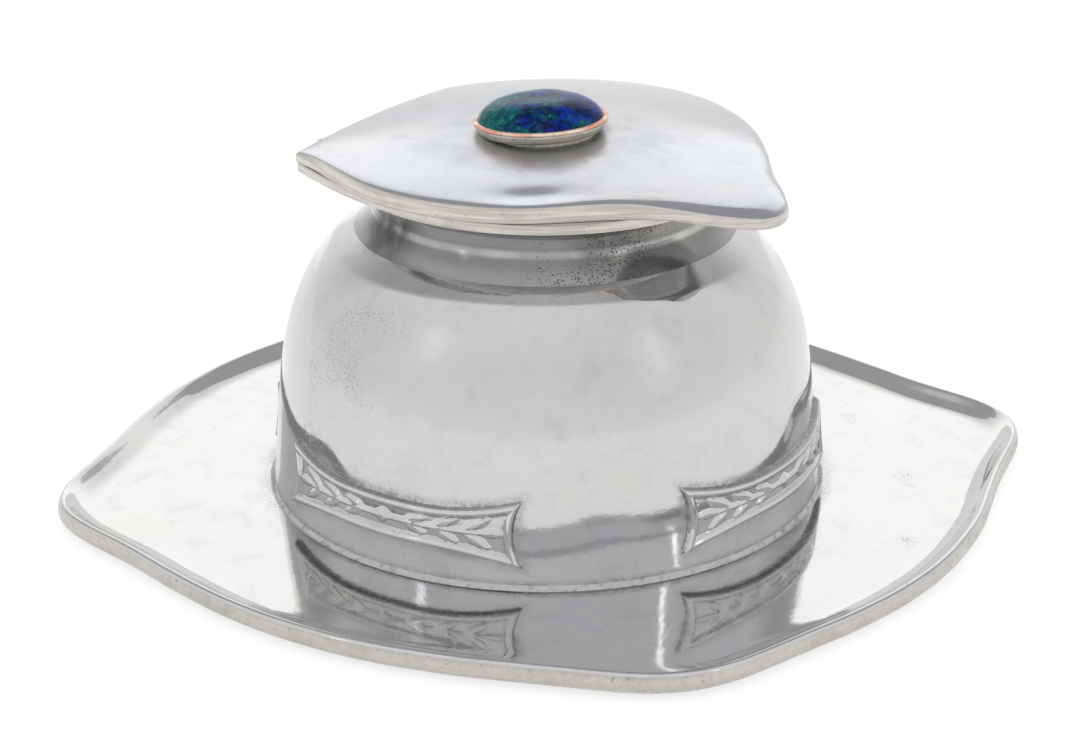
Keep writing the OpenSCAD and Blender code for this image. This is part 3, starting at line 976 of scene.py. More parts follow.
@dataclass
class Tray:
    """The tray: a flat with a rim turned up all round, which runs out into four ears.

    Args:
        flat_z: Height of the flat's upper side.
        rim_rise: How far the rim stands above the flat.
        rim_w: Width of the hollow slope from the rim down to the flat.
        foot_r: Radius of the dome's foot, inside which nothing shows.
        cut_z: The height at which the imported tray's outline is read.
        unevenness: How far the flat strays from level.
        steps: How many points each ring has.
        flat_rings: How many rings the flat has.
    """

    flat_z: float = 2.2
    rim_rise: float = 2.3
    rim_w: float = 6.5
    foot_r: float = 49.0
    cut_z: float = 2.1
    unevenness: float = 0.07
    steps: int = 480
    flat_rings: int = 16

    # Inset from the edge and height of the rim's points, from underneath to the flat.
    UNDER = ((4.2, 0.08), (2.6, 0.28), (1.4, 0.66), (0.6, 1.2), (0.15, 1.8))
    FACE = ((0.0, 2.4), (0.04, 3.0), (0.12, 3.5))
    SLOPE = ((1.9, 4.08), (2.6, 3.5), (3.4, 2.95), (4.3, 2.52), (5.4, 2.27))

    def __post_init__(self) -> None:
        """Read the outline."""
        self.outline = FrameOutline("base_tray", self.cut_z, 60.0, softness=4.0, filed=0.12)

    def flat_ring(self, share: float) -> Ring:
        """Return a ring of the flat, from the rim's inner side at 0 to the dome's foot at 1.

        Args:
            share: How far the ring lies from the rim, from 0 to 1.

        Returns:
            The ring.
        """

        def place(angle: float) -> Vector:
            """Return the ring's place in one direction, in degrees."""
            outer = self.outline.edge(angle) - self.rim_w
            spot = turned(angle, mix(outer, self.foot_r - 0.5, share), self.flat_z)
            calm = smooth(0.0, 0.25, share) * smooth(1.0, 0.9, share)
            spot.z += self.unevenness * calm * waves(spot, 21.0, 0.7)
            return spot

        return place

    def section(self) -> Section:
        """Return the rim's section, as pairs of inset from the edge and height.

        Returns:
            The pairs, from underneath, round the edge, to the flat.
        """
        top = self.flat_z + self.rim_rise
        crest = [(0.3, top - 0.45), (0.62, top - 0.14), (1.0, top), (1.4, top - 0.1)]
        outside = [(self.rim_w, 0.0), *self.UNDER, *self.FACE]
        return outside + crest + [*self.SLOPE, (self.rim_w, self.flat_z)]

    def build(self) -> None:
        """Build the tray."""
        piece = Piece()
        rings = [level_ring(0, 0), level_ring(self.foot_r, 0)]
        rings += [self.outline.ring(inset, height) for inset, height in self.section()]
        rings += [self.flat_ring((i + 1) / self.flat_rings) for i in range(self.flat_rings)]
        rings.append(level_ring(0, self.flat_z))
        piece.rings(rings, self.steps)
        piece.soil_and_shade(self.grime_and_shade)
        piece.paint(1, self.on_edge)
        piece.place("tray", "stand", "pewter", (Finish.TRAY, Finish.RIM), "base_tray")

    def on_edge(self, face: Face, spot: Vector) -> bool:
        """Say whether a face belongs to the rim's rubbed outer face."""
        high = self.flat_z + self.rim_rise - 0.3
        return 1.0 < spot.z < high and self.outline.close_to(spot, 0.75)

    def grime_and_shade(self, spot: Vector) -> float:
        """Return how grimy a place on the tray is: most in the corner at the dome's foot.

        Args:
            spot: The place.

        Returns:
            How grimy it is, from 0 to 1.
        """
        away = spot.xy.length - self.foot_r
        uneven = 0.5 + 0.5 * waves(spot, 5.0, 1.9)
        foot = smooth(2.2, 0.2, away) * (0.15 + 0.45 * uneven)
        return foot if spot.z > self.cut_z else 0.0


# Dome and straps ------------------------------------------------------------------------------


@dataclass
class Dome:
    """The domed body, cast in one piece with its four raised straps.

    Args:
        stand_z: Height of the tray's flat, on which the dome stands.
        foot_r: Radius of its foot.
        body_r: Greatest radius above the flared foot.
        close_h: Height at which its curve would close.
        power: How square its shoulder is.
        wall: Thickness of its wall.
        top_h: Height of its top edge above the tray's flat.
        mouth_r: Radius of the hole in its top.
        flare_h: Height of the flared foot.
        flat_h: Height above which its shoulder is beaten flatter.
        flat_in: How far the flatter shoulder lies inside the plain curve at its top.
        steps: How many points each ring has.
    """

    stand_z: float = 2.2
    foot_r: float = 48.7
    body_r: float = 47.3
    close_h: float = 57.8
    power: float = 3.45
    wall: float = 2.6
    top_h: float = 49.5
    mouth_r: float = 26.1
    flare_h: float = 22.0
    flat_h: float = 44.0
    flat_in: float = 1.9
    steps: int = 360

    # Heights of the rings at the foot, and of the inner side's rings.
    FOOT = (0.0, 0.3, 0.7, 1.2, 1.8)
    INNER = (46, 42, 37, 30, 20, 10, 0)
    # First height, step and count of the rings beside the straps, on the side and the shoulder.
    RISERS = ((2.4, 0.6, 26), (18.6, 1.4, 14), (37.8, 0.45, 26))
    # Depth, reach and seed of each unevenness.
    UNEVEN = ((0.09, 24.0, 5.3), (0.045, 9.0, 8.8))

    def outer(self, h: float) -> float:
        """Return the radius of the outer side at a height above the tray's flat.

        Args:
            h: The height.

        Returns:
            The radius in millimetres.
        """
        curve = self.body_r * math.sqrt(1 - clamp(h / self.close_h) ** self.power)
        flare = (self.foot_r - self.body_r) * clamp(1 - h / self.flare_h) ** 2
        share = clamp((h - self.flat_h) / (self.top_h - self.flat_h))
        return curve + flare - self.flat_in * (1 - (1 - share) ** 1.8)

    def inner(self, h: float) -> float:
        """Return the radius of the inner side at a height above the tray's flat.

        Args:
            h: The height.

        Returns:
            The radius in millimetres.
        """
        share = clamp(h / (self.close_h - self.wall))
        curve = (self.body_r - self.wall) * math.sqrt(1 - share**self.power)
        return max(self.mouth_r, curve)

    def skin(self, angle: float, h: float, proud: float = 0.0) -> Vector:
        """Return a place on the outer side, with the unevenness of hand work.

        Args:
            angle: Its direction in degrees.
            h: Its height above the tray's flat.
            proud: How far it stands out from the plain dome.

        Returns:
            The place.
        """
        spot = turned(angle, self.outer(h), h)
        calm = smooth(0.0, 4.0, h) * smooth(self.top_h, self.top_h - 3, h)
        stray = calm * sum(deep * waves(spot, reach, seed) for deep, reach, seed in self.UNEVEN)
        spot += outward(spot) * (proud + stray)
        spot.z += self.stand_z
        return spot

    def heights(self) -> list[float]:
        """Return the heights of the rings of the outer side, closest together round the straps."""
        risen = [start + step * i for start, step, count in self.RISERS for i in range(count)]
        return [*self.FOOT, *risen, self.top_h]

    def build(self, straps: "Straps") -> None:
        """Build the dome, with the dirt that has gathered round the straps.

        Args:
            straps: The straps.
        """
        piece = Piece()
        rings: list[Ring] = [lambda angle, h=h: self.skin(angle, h) for h in self.heights()]
        rings.append(level_ring(self.mouth_r, self.stand_z + self.top_h))
        rings += [level_ring(self.inner(h), h + self.stand_z) for h in self.INNER]
        piece.rings(rings, self.steps, closed=True)
        piece.soil_and_shade(lambda spot: self.grime_and_shade(spot, straps))
        piece.paint(1, self.hidden)
        piece.place("dome", "stand", "pewter", (Finish.DOME, Finish.INSIDE), "dome_body")

    def hidden(self, face: Face, spot: Vector) -> bool:
        """Say whether a face belongs to the inner side."""
        outer = min(self.body_r, self.outer(spot.z - self.stand_z))
        return spot.xy.length < outer - self.wall / 2

    def grime_and_shade(self, spot: Vector, straps: "Straps") -> float:
        """Return how grimy a place on the dome is: at its foot, under the neck, round straps.

        Args:
            spot: The place.
            straps: The straps.

        Returns:
            How grimy it is, from 0 to 1.
        """
        h = spot.z - self.stand_z
        uneven = 0.5 + 0.5 * waves(spot, 4.0, 2.3)
        foot = smooth(1.9, 0.6, h) * (0.1 + 0.6 * uneven)
        neck = smooth(self.top_h - 1.4, self.top_h, h) * (0.1 + 0.25 * uneven)
        return max(foot, neck, straps.grime_beside(spot))


@dataclass
class Straps:
    """Four raised straps: level ribbons with dished ends, a rolled border and a leafy sprig.

    Args:
        dome: The dome that they stand on.
        half_l: Half the length of a strap, along the wall.
        middle_h: Height of its middle above the tray's flat.
        mid_w: Its width in its middle.
        end_w: Its width at its ends.
        straight: How far from its middle it starts to widen.
        dish: How deep its ends are dished.
        border: Width of its rolled border.
        panel: How far its panel stands out.
        roll: How far its border stands out.
        sprig: How far its sprig stands out.
        sunk: How far its outer edge lies under the dome's skin.
        reed_w: Width of the sprig's stem.
        reed_reach: How far from the middle the stem reaches.
        lozenge_l: Length of the lozenge in the middle.
        lozenge_w: Width of the lozenge.
        leaf_pairs: How many pairs of leaves each half of the sprig has.
        leaf_start: How far from the middle the first pair grows.
        leaf_pitch: How far apart the pairs grow.
        leaf_l: Length of the first leaves.
        leaf_w: Width of a leaf.
        leaf_lean: How far the first leaves lean from the stem, in degrees.
        margin: How far the mesh reaches beyond the strap's outline.
        grain: How far apart the mesh's points lie.
    """

    dome: Dome
    half_l: float = 24.0
    middle_h: float = 9.4
    mid_w: float = 6.8
    end_w: float = 11.4
    straight: float = 7.0
    dish: float = 1.5
    border: float = 1.4
    panel: float = 0.4
    roll: float = 1.1
    sprig: float = 0.85
    sunk: float = 0.25
    reed_w: float = 0.8
    reed_reach: float = 17.5
    lozenge_l: float = 5.2
    lozenge_w: float = 2.8
    leaf_pairs: int = 3
    leaf_start: float = 3.8
    leaf_pitch: float = 5.1
    leaf_l: float = 4.6
    leaf_w: float = 1.5
    leaf_lean: float = 18.0
    margin: float = 0.9
    grain: float = 0.22

    NAMES = {-90.0: "strap_front", 0.0: "strap_right", 90.0: "strap_back", 180.0: "strap_left"}

    def half_w(self, s: float) -> float:
        """Return half the strap's width at a distance along it from its middle."""
        share = max(0.0, (abs(s) - self.straight) / (self.half_l - self.straight))
        return (self.mid_w + (self.end_w - self.mid_w) * share * share) / 2

    def inside(self, s: float, t: float) -> float:
        """Return how far a place lies inside the strap's outline.

        Args:
            s: Distance along the strap from its middle.
            t: Height from its middle line.

        Returns:
            Millimetres, below 0 outside.
        """
        to_side = self.half_w(s) - abs(t)
        bow = 1 - min(1.0, abs(t) / (self.end_w / 2)) ** 2
        to_end = self.half_l - self.dish * bow - abs(s)
        return min(to_side, to_end)

    def leaves(self) -> list[tuple[float, float, float, float]]:
        """Return each leaf of the sprig: root, side, lean in degrees and length.

        Returns:
            The leaves.
        """
        made = []
        for side in (-1.0, 1.0):
            made.append((side * (self.reed_reach - 0.5), side, 0.0, self.leaf_l))
            for i in range(self.leaf_pairs):
                root = side * (self.leaf_start + i * self.leaf_pitch)
                for up in (-1.0, 1.0):
                    made.append((root, side, up * (self.leaf_lean + 5 * i), self.leaf_l + 0.5 * i))
        return made

    def leaf_rise(self, s: float, t: float, leaf: tuple[float, float, float, float]) -> float:
        """Return how high a leaf swells at a place, from 0 beside it to 1 on its ridges.

        Args:
            s: Distance along the strap from its middle.
            t: Height from its middle line.
            leaf: The leaf: root, side, lean and length.

        Returns:
            The height, where 1 is the sprig's.
        """
        root, side, lean, length = leaf
        a = math.radians(lean)
        ds = (s - root) * side
        along = ds * math.cos(a) + t * math.sin(a)
        across = abs(t * math.cos(a) - ds * math.sin(a))
        if not 0 < along < length:
            return 0.0
        half = 0.6 * self.leaf_w * math.sin(math.pi * along / length) ** 0.75
        swell = smooth(1.0, 0.25, across / half)
        vein = 0.22 * smooth(0.22, 0.0, across) * smooth(0.0, 0.8, along)
        return swell - vein * swell

    def ornament(self, s: float, t: float) -> float:
        """Return how high the stem, the lozenge and the leaves swell at a place, from 0.

        Args:
            s: Distance along the strap from its middle.
            t: Height from its middle line.

        Returns:
            The height, where 1 is the sprig's.
        """
        reed = smooth(self.reed_w / 2 + 0.1, 0.1, abs(t))
        reed *= smooth(self.reed_reach, self.reed_reach - 0.5, abs(s))
        lozenge = 1 - abs(s) / (self.lozenge_l / 2) - abs(t) / (self.lozenge_w / 2)
        near = [leaf for leaf in self.leaves() if abs(s - leaf[0]) < 2 * self.leaf_l]
        swells = [self.leaf_rise(s, t, leaf) for leaf in near]
        return max(reed, 1.3 * clamp(1.6 * lozenge), *swells)

    def rise(self, s: float, t: float) -> float:
        """Return how far the strap stands out of the dome at a place along and across it.

        Args:
            s: Distance along the strap from its middle.
            t: Height from its middle line.

        Returns:
            The height over the dome, in millimetres.
        """
        depth = self.inside(s, t)
        if depth < -0.35:
            return -self.sunk
        rolled = math.sin(math.pi * clamp((depth + 0.15) / (self.border + 0.3))) ** 0.7
        level = self.panel + (self.roll - self.panel) * max(0.0, rolled)
        inner = smooth(self.border - 0.1, self.border + 0.3, depth)
        level += inner * self.ornament(s, t) * (self.sprig - self.panel)
        return mix(-self.sunk, level, smooth(-0.3, 0.3, depth))

    def grime_in(self, s: float, t: float) -> float:
        """Return how grimy a place on a strap is: in the angle inside its border.

        Args:
            s: Distance along the strap from its middle.
            t: Height from its middle line.

        Returns:
            How grimy it is, from 0 to 1.
        """
        depth = self.inside(s, t)
        inner = smooth(self.border + 0.9, self.border + 0.15, depth)
        inner *= smooth(self.border - 0.35, self.border + 0.1, depth)
        outer = smooth(0.35, -0.1, depth)
        return max(0.2 * inner, 0.6 * outer)

    def grime_beside(self, spot: Vector) -> float:
        """Return how grimy a place on the dome is because of a strap close by.

        Args:
            spot: The place.

        Returns:
            How grimy it is, from 0 to 1.
        """
        heading = heading_of(spot)
        off = min((turn_from(turn, heading) for turn in self.NAMES), key=abs)
        s = math.radians(off) * self.dome.body_r
        t = spot.z - self.dome.stand_z - self.middle_h
        near = smooth(-1.9, -0.1, self.inside(s, t))
        above = 0.8 if t > 0 else 0.35
        return above * near * (0.55 + 0.45 * waves(spot, 3.0, 4.4))

    def build(self) -> None:
        """Build the four straps, which share one relief."""
        reach_s, reach_t = self.half_l + self.margin, self.end_w / 2 + self.margin
        columns, rows = round(2 * reach_s / self.grain), round(2 * reach_t / self.grain)
        relief = {}
        for turn, name in self.NAMES.items():
            piece = Piece()
            bm = piece.bm
            bmesh.ops.create_grid(bm, x_segments=columns, y_segments=rows, size=1.0)
            bmesh.ops.scale(bm, vec=(reach_s, reach_t, 1), verts=bm.verts)
            for vert in bm.verts:
                s, t = vert.co.x, vert.co.y
                key = (round(s, 3), round(t, 3))
                if key not in relief:
                    relief[key] = (self.rise(s, t), self.grime_in(s, t))
                proud, vert[piece.grime_and_shade] = relief[key]
                angle = turn + math.degrees(s / self.dome.body_r)
                vert.co = self.dome.skin(angle, self.middle_h + t, proud)
            self.back(bm)
            bmesh.ops.recalc_face_normals(bm, faces=bm.faces)
            piece.place(name, "stand", "pewter", (Finish.STRAP,), sharp=80.0)

    def back(self, bm: bmesh.types.BMesh) -> None:
        """Close a strap with a skirt and a back that lie inside the dome's wall.

        Args:
            bm: The strap's mesh.
        """
        border = [edge for edge in bm.edges if edge.is_boundary]
        skirt = bmesh.ops.extrude_edge_only(bm, edges=border)["geom"]
        for vert in skirt:
            if isinstance(vert, bmesh.types.BMVert):
                vert.co -= outward(vert.co) * (self.dome.wall / 3)
        edges = [part for part in skirt if isinstance(part, bmesh.types.BMEdge)]
        bmesh.ops.holes_fill(bm, edges=edges, sides=0)


# Neck and solder ------------------------------------------------------------------------------


@dataclass
class Neck:
    """The neck: a cove that runs out into the flange under the lid, with the bore in its middle.

    Args:
        foot_z: Height of its foot.
        foot_r: Radius of its foot.
        cove: Centre of the cove's curve, as distance from the axis and height.
        cove_r: Radius of the cove's curve.
        flange_t: Thickness of the flange.
        seat_z: Height of the flange's upper face.
        bore_r: Radius of the bore.
        recess_r: Radius of the recess for the liner's rim.
        ledge_z: Height of the recess's floor.
        ears: Directions of the flange's two ears, on the hinge side.
        steps: How many points each ring has.
    """

    foot_z: float = 50.2
    foot_r: float = 29.72
    cove: tuple[float, float] = (33.3, 54.5)
    cove_r: float = 3.9
    flange_t: float = 1.8
    seat_z: float = 59.4
    bore_r: float = 25.8
    recess_r: float = 28.4
    ledge_z: float = 54.3
    ears: tuple[float, float] = (60.15, 123.84)
    steps: int = 360

    # Start, end and steps of the cove's arc.
    COVE_ARC = (205, 128, 18)
    # Inset from the flange's edge and height, from its underside and from its seat.
    FLANGE_LOW = ((1.6, 0.0), (0.35, 0.0), (0.08, 0.08), (0.0, 0.35))
    FLANGE_TOP = ((0.0, -0.16), (0.04, -0.03), (0.16, 0.0))

    def __post_init__(self) -> None:
        """Read the flange's outline."""
        cut_z = self.seat_z - self.flange_t / 2
        self.outline = FrameOutline("neck_collar", cut_z, 30.0, self.ears)

    def build(self) -> None:
        """Build the neck."""
        piece = Piece()
        top, under = self.seat_z, self.seat_z - self.flange_t
        section = [(self.bore_r, self.foot_z), (self.foot_r, self.foot_z)]
        section += arc(self.cove, self.cove_r, *self.COVE_ARC)
        flange = [(inset, under + up) for inset, up in self.FLANGE_LOW]
        flange += [(inset, top + up) for inset, up in self.FLANGE_TOP]
        bore = [(self.recess_r + 0.3, top), (self.recess_r, top - 0.3)]
        bore += [(self.recess_r, self.ledge_z), (self.bore_r, self.ledge_z)]
        rings = [level_ring(r, z) for r, z in section]
        rings += [self.outline.ring(inset, z) for inset, z in flange]
        rings += [level_ring(r, z) for r, z in bore]
        piece.rings(rings, self.steps, closed=True, corners=self.ears)
        piece.soil_and_shade(self.grime_and_shade)
        piece.paint(1, lambda face, spot: spot.z > under and self.outline.close_to(spot, 0.4))
        piece.paint(3, lambda face, spot: abs(face.normal.z) > 0.6 and spot.z > under - 1.5)
        piece.paint(2, lambda face, spot: spot.xy.length < self.recess_r + 0.1)
        # The neck's finish holds painted light: a painted dark reflection, a painted highlight line
        # and a painted shadow.
        finishes = (Finish.NECK, Finish.EDGE, Finish.INSIDE, Finish.BRIM)
        piece.place("neck", "stand", "pewter_dull", finishes, "neck_collar", sharp=30.0)

    def grime_and_shade(self, spot: Vector) -> float:
        """Return how grimy a place on the neck is: at the seam under the lid."""
        seam = smooth(self.seat_z - 0.2, self.seat_z - 0.05, spot.z)
        return 0.6 * seam if self.outline.close_to(spot, 0.1) else 0.0


@dataclass
class Fillet:
    """The solder at the neck's foot, dressed to a smooth hollow that runs out onto the dome.

    Args:
        dome: The dome that it runs out onto.
        neck_at: Where it meets the neck, as distance from the axis and height.
        bend: Where the tangents at its two ends meet.
        dome_h: Height above the tray's flat at which it meets the dome.
        proud: How far it stands out from the dome there.
        root: How deep it reaches into the dome and the neck.
        steps: How many points each ring has.
        spans: How many bands it has from the neck to the dome.
    """

    dome: Dome
    neck_at: tuple[float, float] = (29.8, 52.85)
    bend: tuple[float, float] = (31.34, 49.53)
    dome_h: float = 45.2
    proud: float = -0.12
    root: tuple[float, float] = (1.0, 0.6)
    steps: int = 360
    spans: int = 14

    def ring(self, share: float) -> Ring:
        """Return a ring that is share of the way from the neck to the dome.

        Args:
            share: How far it lies from the neck, from 0 to 1.

        Returns:
            The ring.
        """

        def place(angle: float) -> Vector:
            """Return the ring's place in one direction, in degrees."""
            foot = self.dome.skin(angle, self.dome_h, self.proud)
            near, far = (1 - share) ** 2, share * share
            middle = 1 - near - far
            radius = near * self.neck_at[0] + middle * self.bend[0] + far * foot.xy.length
            height = near * self.neck_at[1] + middle * self.bend[1] + far * foot.z
            return turned(angle, radius, height)

        return place

    def build(self) -> None:
        """Build the fillet."""
        piece = Piece()
        in_dome, in_neck = self.root
        inner = self.neck_at[0] - in_neck
        rings = [self.ring(i / self.spans) for i in range(self.spans + 1)]
        rings.append(lambda angle: self.dome.skin(angle, self.dome_h, -in_dome))
        rings += [level_ring(inner, self.bend[1]), level_ring(inner, self.neck_at[1] - 0.2)]
        piece.rings(rings, self.steps, closed=True)
        # It takes the neck's finish, which is partly darkened as a painted reflection of the lid's
        # underside.
        piece.place("neck_bead", "stand", "solder", (Finish.NECK,), "neck_solder_bead", sharp=60.0)


@dataclass
class FootBead:
    """The ring of soft solder at the dome's foot, run by hand and so uneven.

    Args:
        section: Pairs of distance from the axis and height.
        stray: How far it strays.
        soiled: How dark its specks of dirt are, from 0 to 1.
        steps: How many points each ring has.
    """

    section: Section = (
        (48.4, 2.2), (49.35, 2.2), (49.15, 2.34), (48.95, 2.54), (48.78, 2.8), (48.55, 3.0)
    )
    stray: float = 0.05
    soiled: float = 0.6
    steps: int = 480

    def build(self) -> None:
        """Build the bead."""
        piece = Piece()
        piece.lathe(self.section, self.steps, closed=True)
        inner = min(r for r, _ in self.section)
        for vert in piece.bm.verts:
            out = vert.co.xy.length
            lump = waves(vert.co, 2.2, 7.7) + 0.6 * waves(vert.co, 0.9, 1.2)
            share = smooth(inner, inner + 0.6, out)
            vert.co.xy *= (out + share * self.stray * lump) / out
        piece.soil_and_shade(lambda spot: self.soiled * smooth(0.1, 0.6, waves(spot, 0.9, 9.4)))
        finishes = (Finish.SOLDER,)
        piece.place("foot_bead", "stand", "solder", finishes, "foot_solder_bead", sharp=60.0)


# Lid ------------------------------------------------------------------------------------------


@dataclass
class Lid:
    """The lid: a shallow crown with a straight hinge side and a thumb corner that droops.

    Args:
        seat_z: Height of its flat underside.
        crown_z: Height of its crown.
        crown_r: Radius of the sphere that its crown follows.
        crown_at: Where the crown is highest.
        wall: Its thickness above its hollow.
        hollow_r: Radius of the hollow.
        thumb_t: Thickness of the thumb corner.
        thumb_from: How far in front of the axis the thumb corner starts.
        thumb_sag: How far the thumb corner's edge droops below the crown.
        corners: Directions of the two ends of its hinge side.
        soft_w: Width of its rounded edge.
        dent_at: Direction of the dent in front, in degrees.
        dent_inset: How far the dent's middle lies inside the edge.
        dent_reach: How far the dent reaches along the edge in degrees, and across it.
        dent_depth: How deep the dent is.
        steps: How many points each ring has.
        crown_rings: How many rings the crown has.
    """

    seat_z: float = 59.4
    crown_z: float = 65.2
    crown_r: float = 245.0
    crown_at: tuple[float, float] = (3.9, 2.0)
    wall: float = 1.6
    hollow_r: float = 30.0
    thumb_t: float = 2.3
    thumb_from: float = 34.6
    thumb_sag: float = 0.42
    corners: tuple[float, float] = (60.05, 123.92)
    soft_w: float = 1.8
    dent_at: float = -150.0
    dent_inset: float = 4.4
    dent_reach: tuple[float, float] = (13.0, 2.7)
    dent_depth: float = 0.42
    steps: int = 480
    crown_rings: int = 40

    # Radius of the rings on the hollow's ceiling, and how far they lie below it.
    CEILING = ((0.0, 0.0), (8, 0.0), (16, 0.0), (24, 0.0), (29.2, 0.0), (29.8, 0.3))
    # How far the rings of the hollow's mouth lie outside it, and above the seat.
    MOUTH = ((0.0, 0.5), (0.15, 0.1), (0.5, 0.0))
    # How far the underside's rings lie inside the edge, and above the seat.
    UNDER = ((0.4, 0), (0.08, 0.05), (0, 0.24))
    # How far the rounded edge's rings lie inside the edge, and below the crown.
    EDGE_TOP = ((0.0, 0.95), (0.04, 0.64), (0.15, 0.4), (0.34, 0.24), (0.65, 0.12), (1.1, 0.04))

    def __post_init__(self) -> None:
        """Read the lid's outline."""
        self.outline = FrameOutline("lid_plate", self.seat_z + 0.5, 31.0, self.corners, 1.6)

    def crown(self, spot: Vector, below: float = 0.0) -> float:
        """Return the height of the crown's sphere over a place, or of one inside it.

        Args:
            spot: The place.
            below: How far the inner sphere lies inside the crown's.

        Returns:
            The height.
        """
        away = (spot.x - self.crown_at[0]) ** 2 + (spot.y - self.crown_at[1]) ** 2
        radius = self.crown_r - below
        return self.crown_z - self.crown_r + math.sqrt(radius * radius - away)

    def sag(self, angle: float, inset: float, spot: Vector) -> float:
        """Return how far the crown lies below its sphere, at the thumb corner and at the dent.

        Args:
            angle: The direction of the place, in degrees.
            inset: How far it lies inside the edge.
            spot: The place.

        Returns:
            The drop in millimetres.
        """
        thumb = self.thumb_sag * smooth(3.6, 0.4, inset) * smooth(-26.0, -42.0, spot.y)
        along = turn_from(self.dent_at, angle) / self.dent_reach[0]
        across = (inset - self.dent_inset) / self.dent_reach[1]
        return thumb + self.dent_depth * math.exp(-along * along - across * across)

    def top_ring(self, inset: float, drop: float) -> Ring:
        """Return a ring of the upper side, close to the edge.

        Args:
            inset: How far it lies inside the edge.
            drop: How far it lies below the crown.

        Returns:
            The ring.
        """

        def place(angle: float) -> Vector:
            """Return the ring's place in one direction, in degrees."""
            spot = turned(angle, self.outline.edge(angle) - inset, 0)
            spot.z = self.crown(spot) - drop - self.sag(angle, inset, spot)
            return spot

        return place

    def crown_ring(self, share: float) -> Ring:
        """Return a ring of the crown that is share of the way from its middle to its edge.

        Args:
            share: How far it lies from the middle, from 0 to 1.

        Returns:
            The ring.
        """

        def place(angle: float) -> Vector:
            """Return the ring's place in one direction, in degrees."""
            inset = mix(self.outline.edge(angle), self.soft_w, share)
            spot = turned(angle, self.outline.edge(angle) - inset, 0)
            stray = 0.05 * smooth(1.0, 0.85, share) * waves(spot, 17.0, 2.6)
            spot.z = self.crown(spot) + stray - self.sag(angle, inset, spot)
            return spot

        return place

    def under_ring(self, inset: float, lift: float) -> Ring:
        """Return a ring of the underside, which follows the crown under the thumb corner.

        Args:
            inset: How far it lies inside the edge.
            lift: How far it lies above the underside.

        Returns:
            The ring.
        """

        def place(angle: float) -> Vector:
            """Return the ring's place in one direction, in degrees."""
            spot = turned(angle, self.outline.edge(angle) - inset, 0)
            level = self.seat_z
            if spot.y < -self.thumb_from:
                level = min(level, self.crown(spot, self.thumb_t))
            spot.z = level + lift
            return spot

        return place

    def ceiling_ring(self, radius: float, drop: float) -> Ring:
        """Return a ring on the hollow's ceiling, or below it.

        Args:
            radius: Its radius.
            drop: How far it lies below the ceiling.

        Returns:
            The ring.
        """

        def place(angle: float) -> Vector:
            """Return the ring's place in one direction, in degrees."""
            spot = turned(angle, radius, 0)
            spot.z = self.crown(spot, self.wall) - drop
            return spot

        return place

    def build(self) -> None:
        """Build the lid."""
        piece = Piece()
        rings = [self.ceiling_ring(radius, drop) for radius, drop in self.CEILING]
        rings += [level_ring(self.hollow_r + out, self.seat_z + lift) for out, lift in self.MOUTH]
        rings += [self.under_ring(inset, lift) for inset, lift in self.UNDER]
        rings += [self.top_ring(inset, drop) for inset, drop in self.EDGE_TOP]
        rings += [self.crown_ring(i / self.crown_rings) for i in range(self.crown_rings, -1, -1)]
        piece.rings(rings, self.steps, corners=self.corners)
        piece.soil_and_shade(self.grime_and_shade)
        piece.paint(1, self.on_edge)
        piece.paint(2, self.underneath)
        finishes = (Finish.LID, Finish.EDGE, Finish.INSIDE)
        piece.place("lid", "lid", "pewter", finishes, "lid_plate", sharp=35.0)

    def on_edge(self, face: Face, spot: Vector) -> bool:
        """Say whether a face belongs to the lid's filed edge."""
        return self.crown(spot) - spot.z > 0.2 and self.outline.close_to(spot, 0.3)

    def underneath(self, face: Face, spot: Vector) -> bool:
        """Say whether a face belongs to the hollow under the lid."""
        return face.normal.z < 0 and spot.xy.length < self.hollow_r + 0.6

    def grime_and_shade(self, spot: Vector) -> float:
        """Return how dark a place on the lid is painted: dirt along the seam, and painted shade
        round the enamel's foot.

        Args:
            spot: The place.

        Returns:
            How grimy it is, from 0 to 1.
        """
        seam = smooth(self.seat_z + 0.2, self.seat_z, spot.z) * self.outline.close_to(spot, 0.2)
        seam *= smooth(-self.thumb_from - 1.5, -self.thumb_from + 1.5, spot.y)
        # Painted shade round the enamel's foot, under the copper's overhanging rim.
        middle = smooth(11.4, 10.7, spot.xy.length)
        middle *= smooth(self.crown_z - 1, self.crown_z - 0.6, spot.z)
        return max(0.6 * seam, 0.35 * middle)


# Enamel ---------------------------------------------------------------------------------------


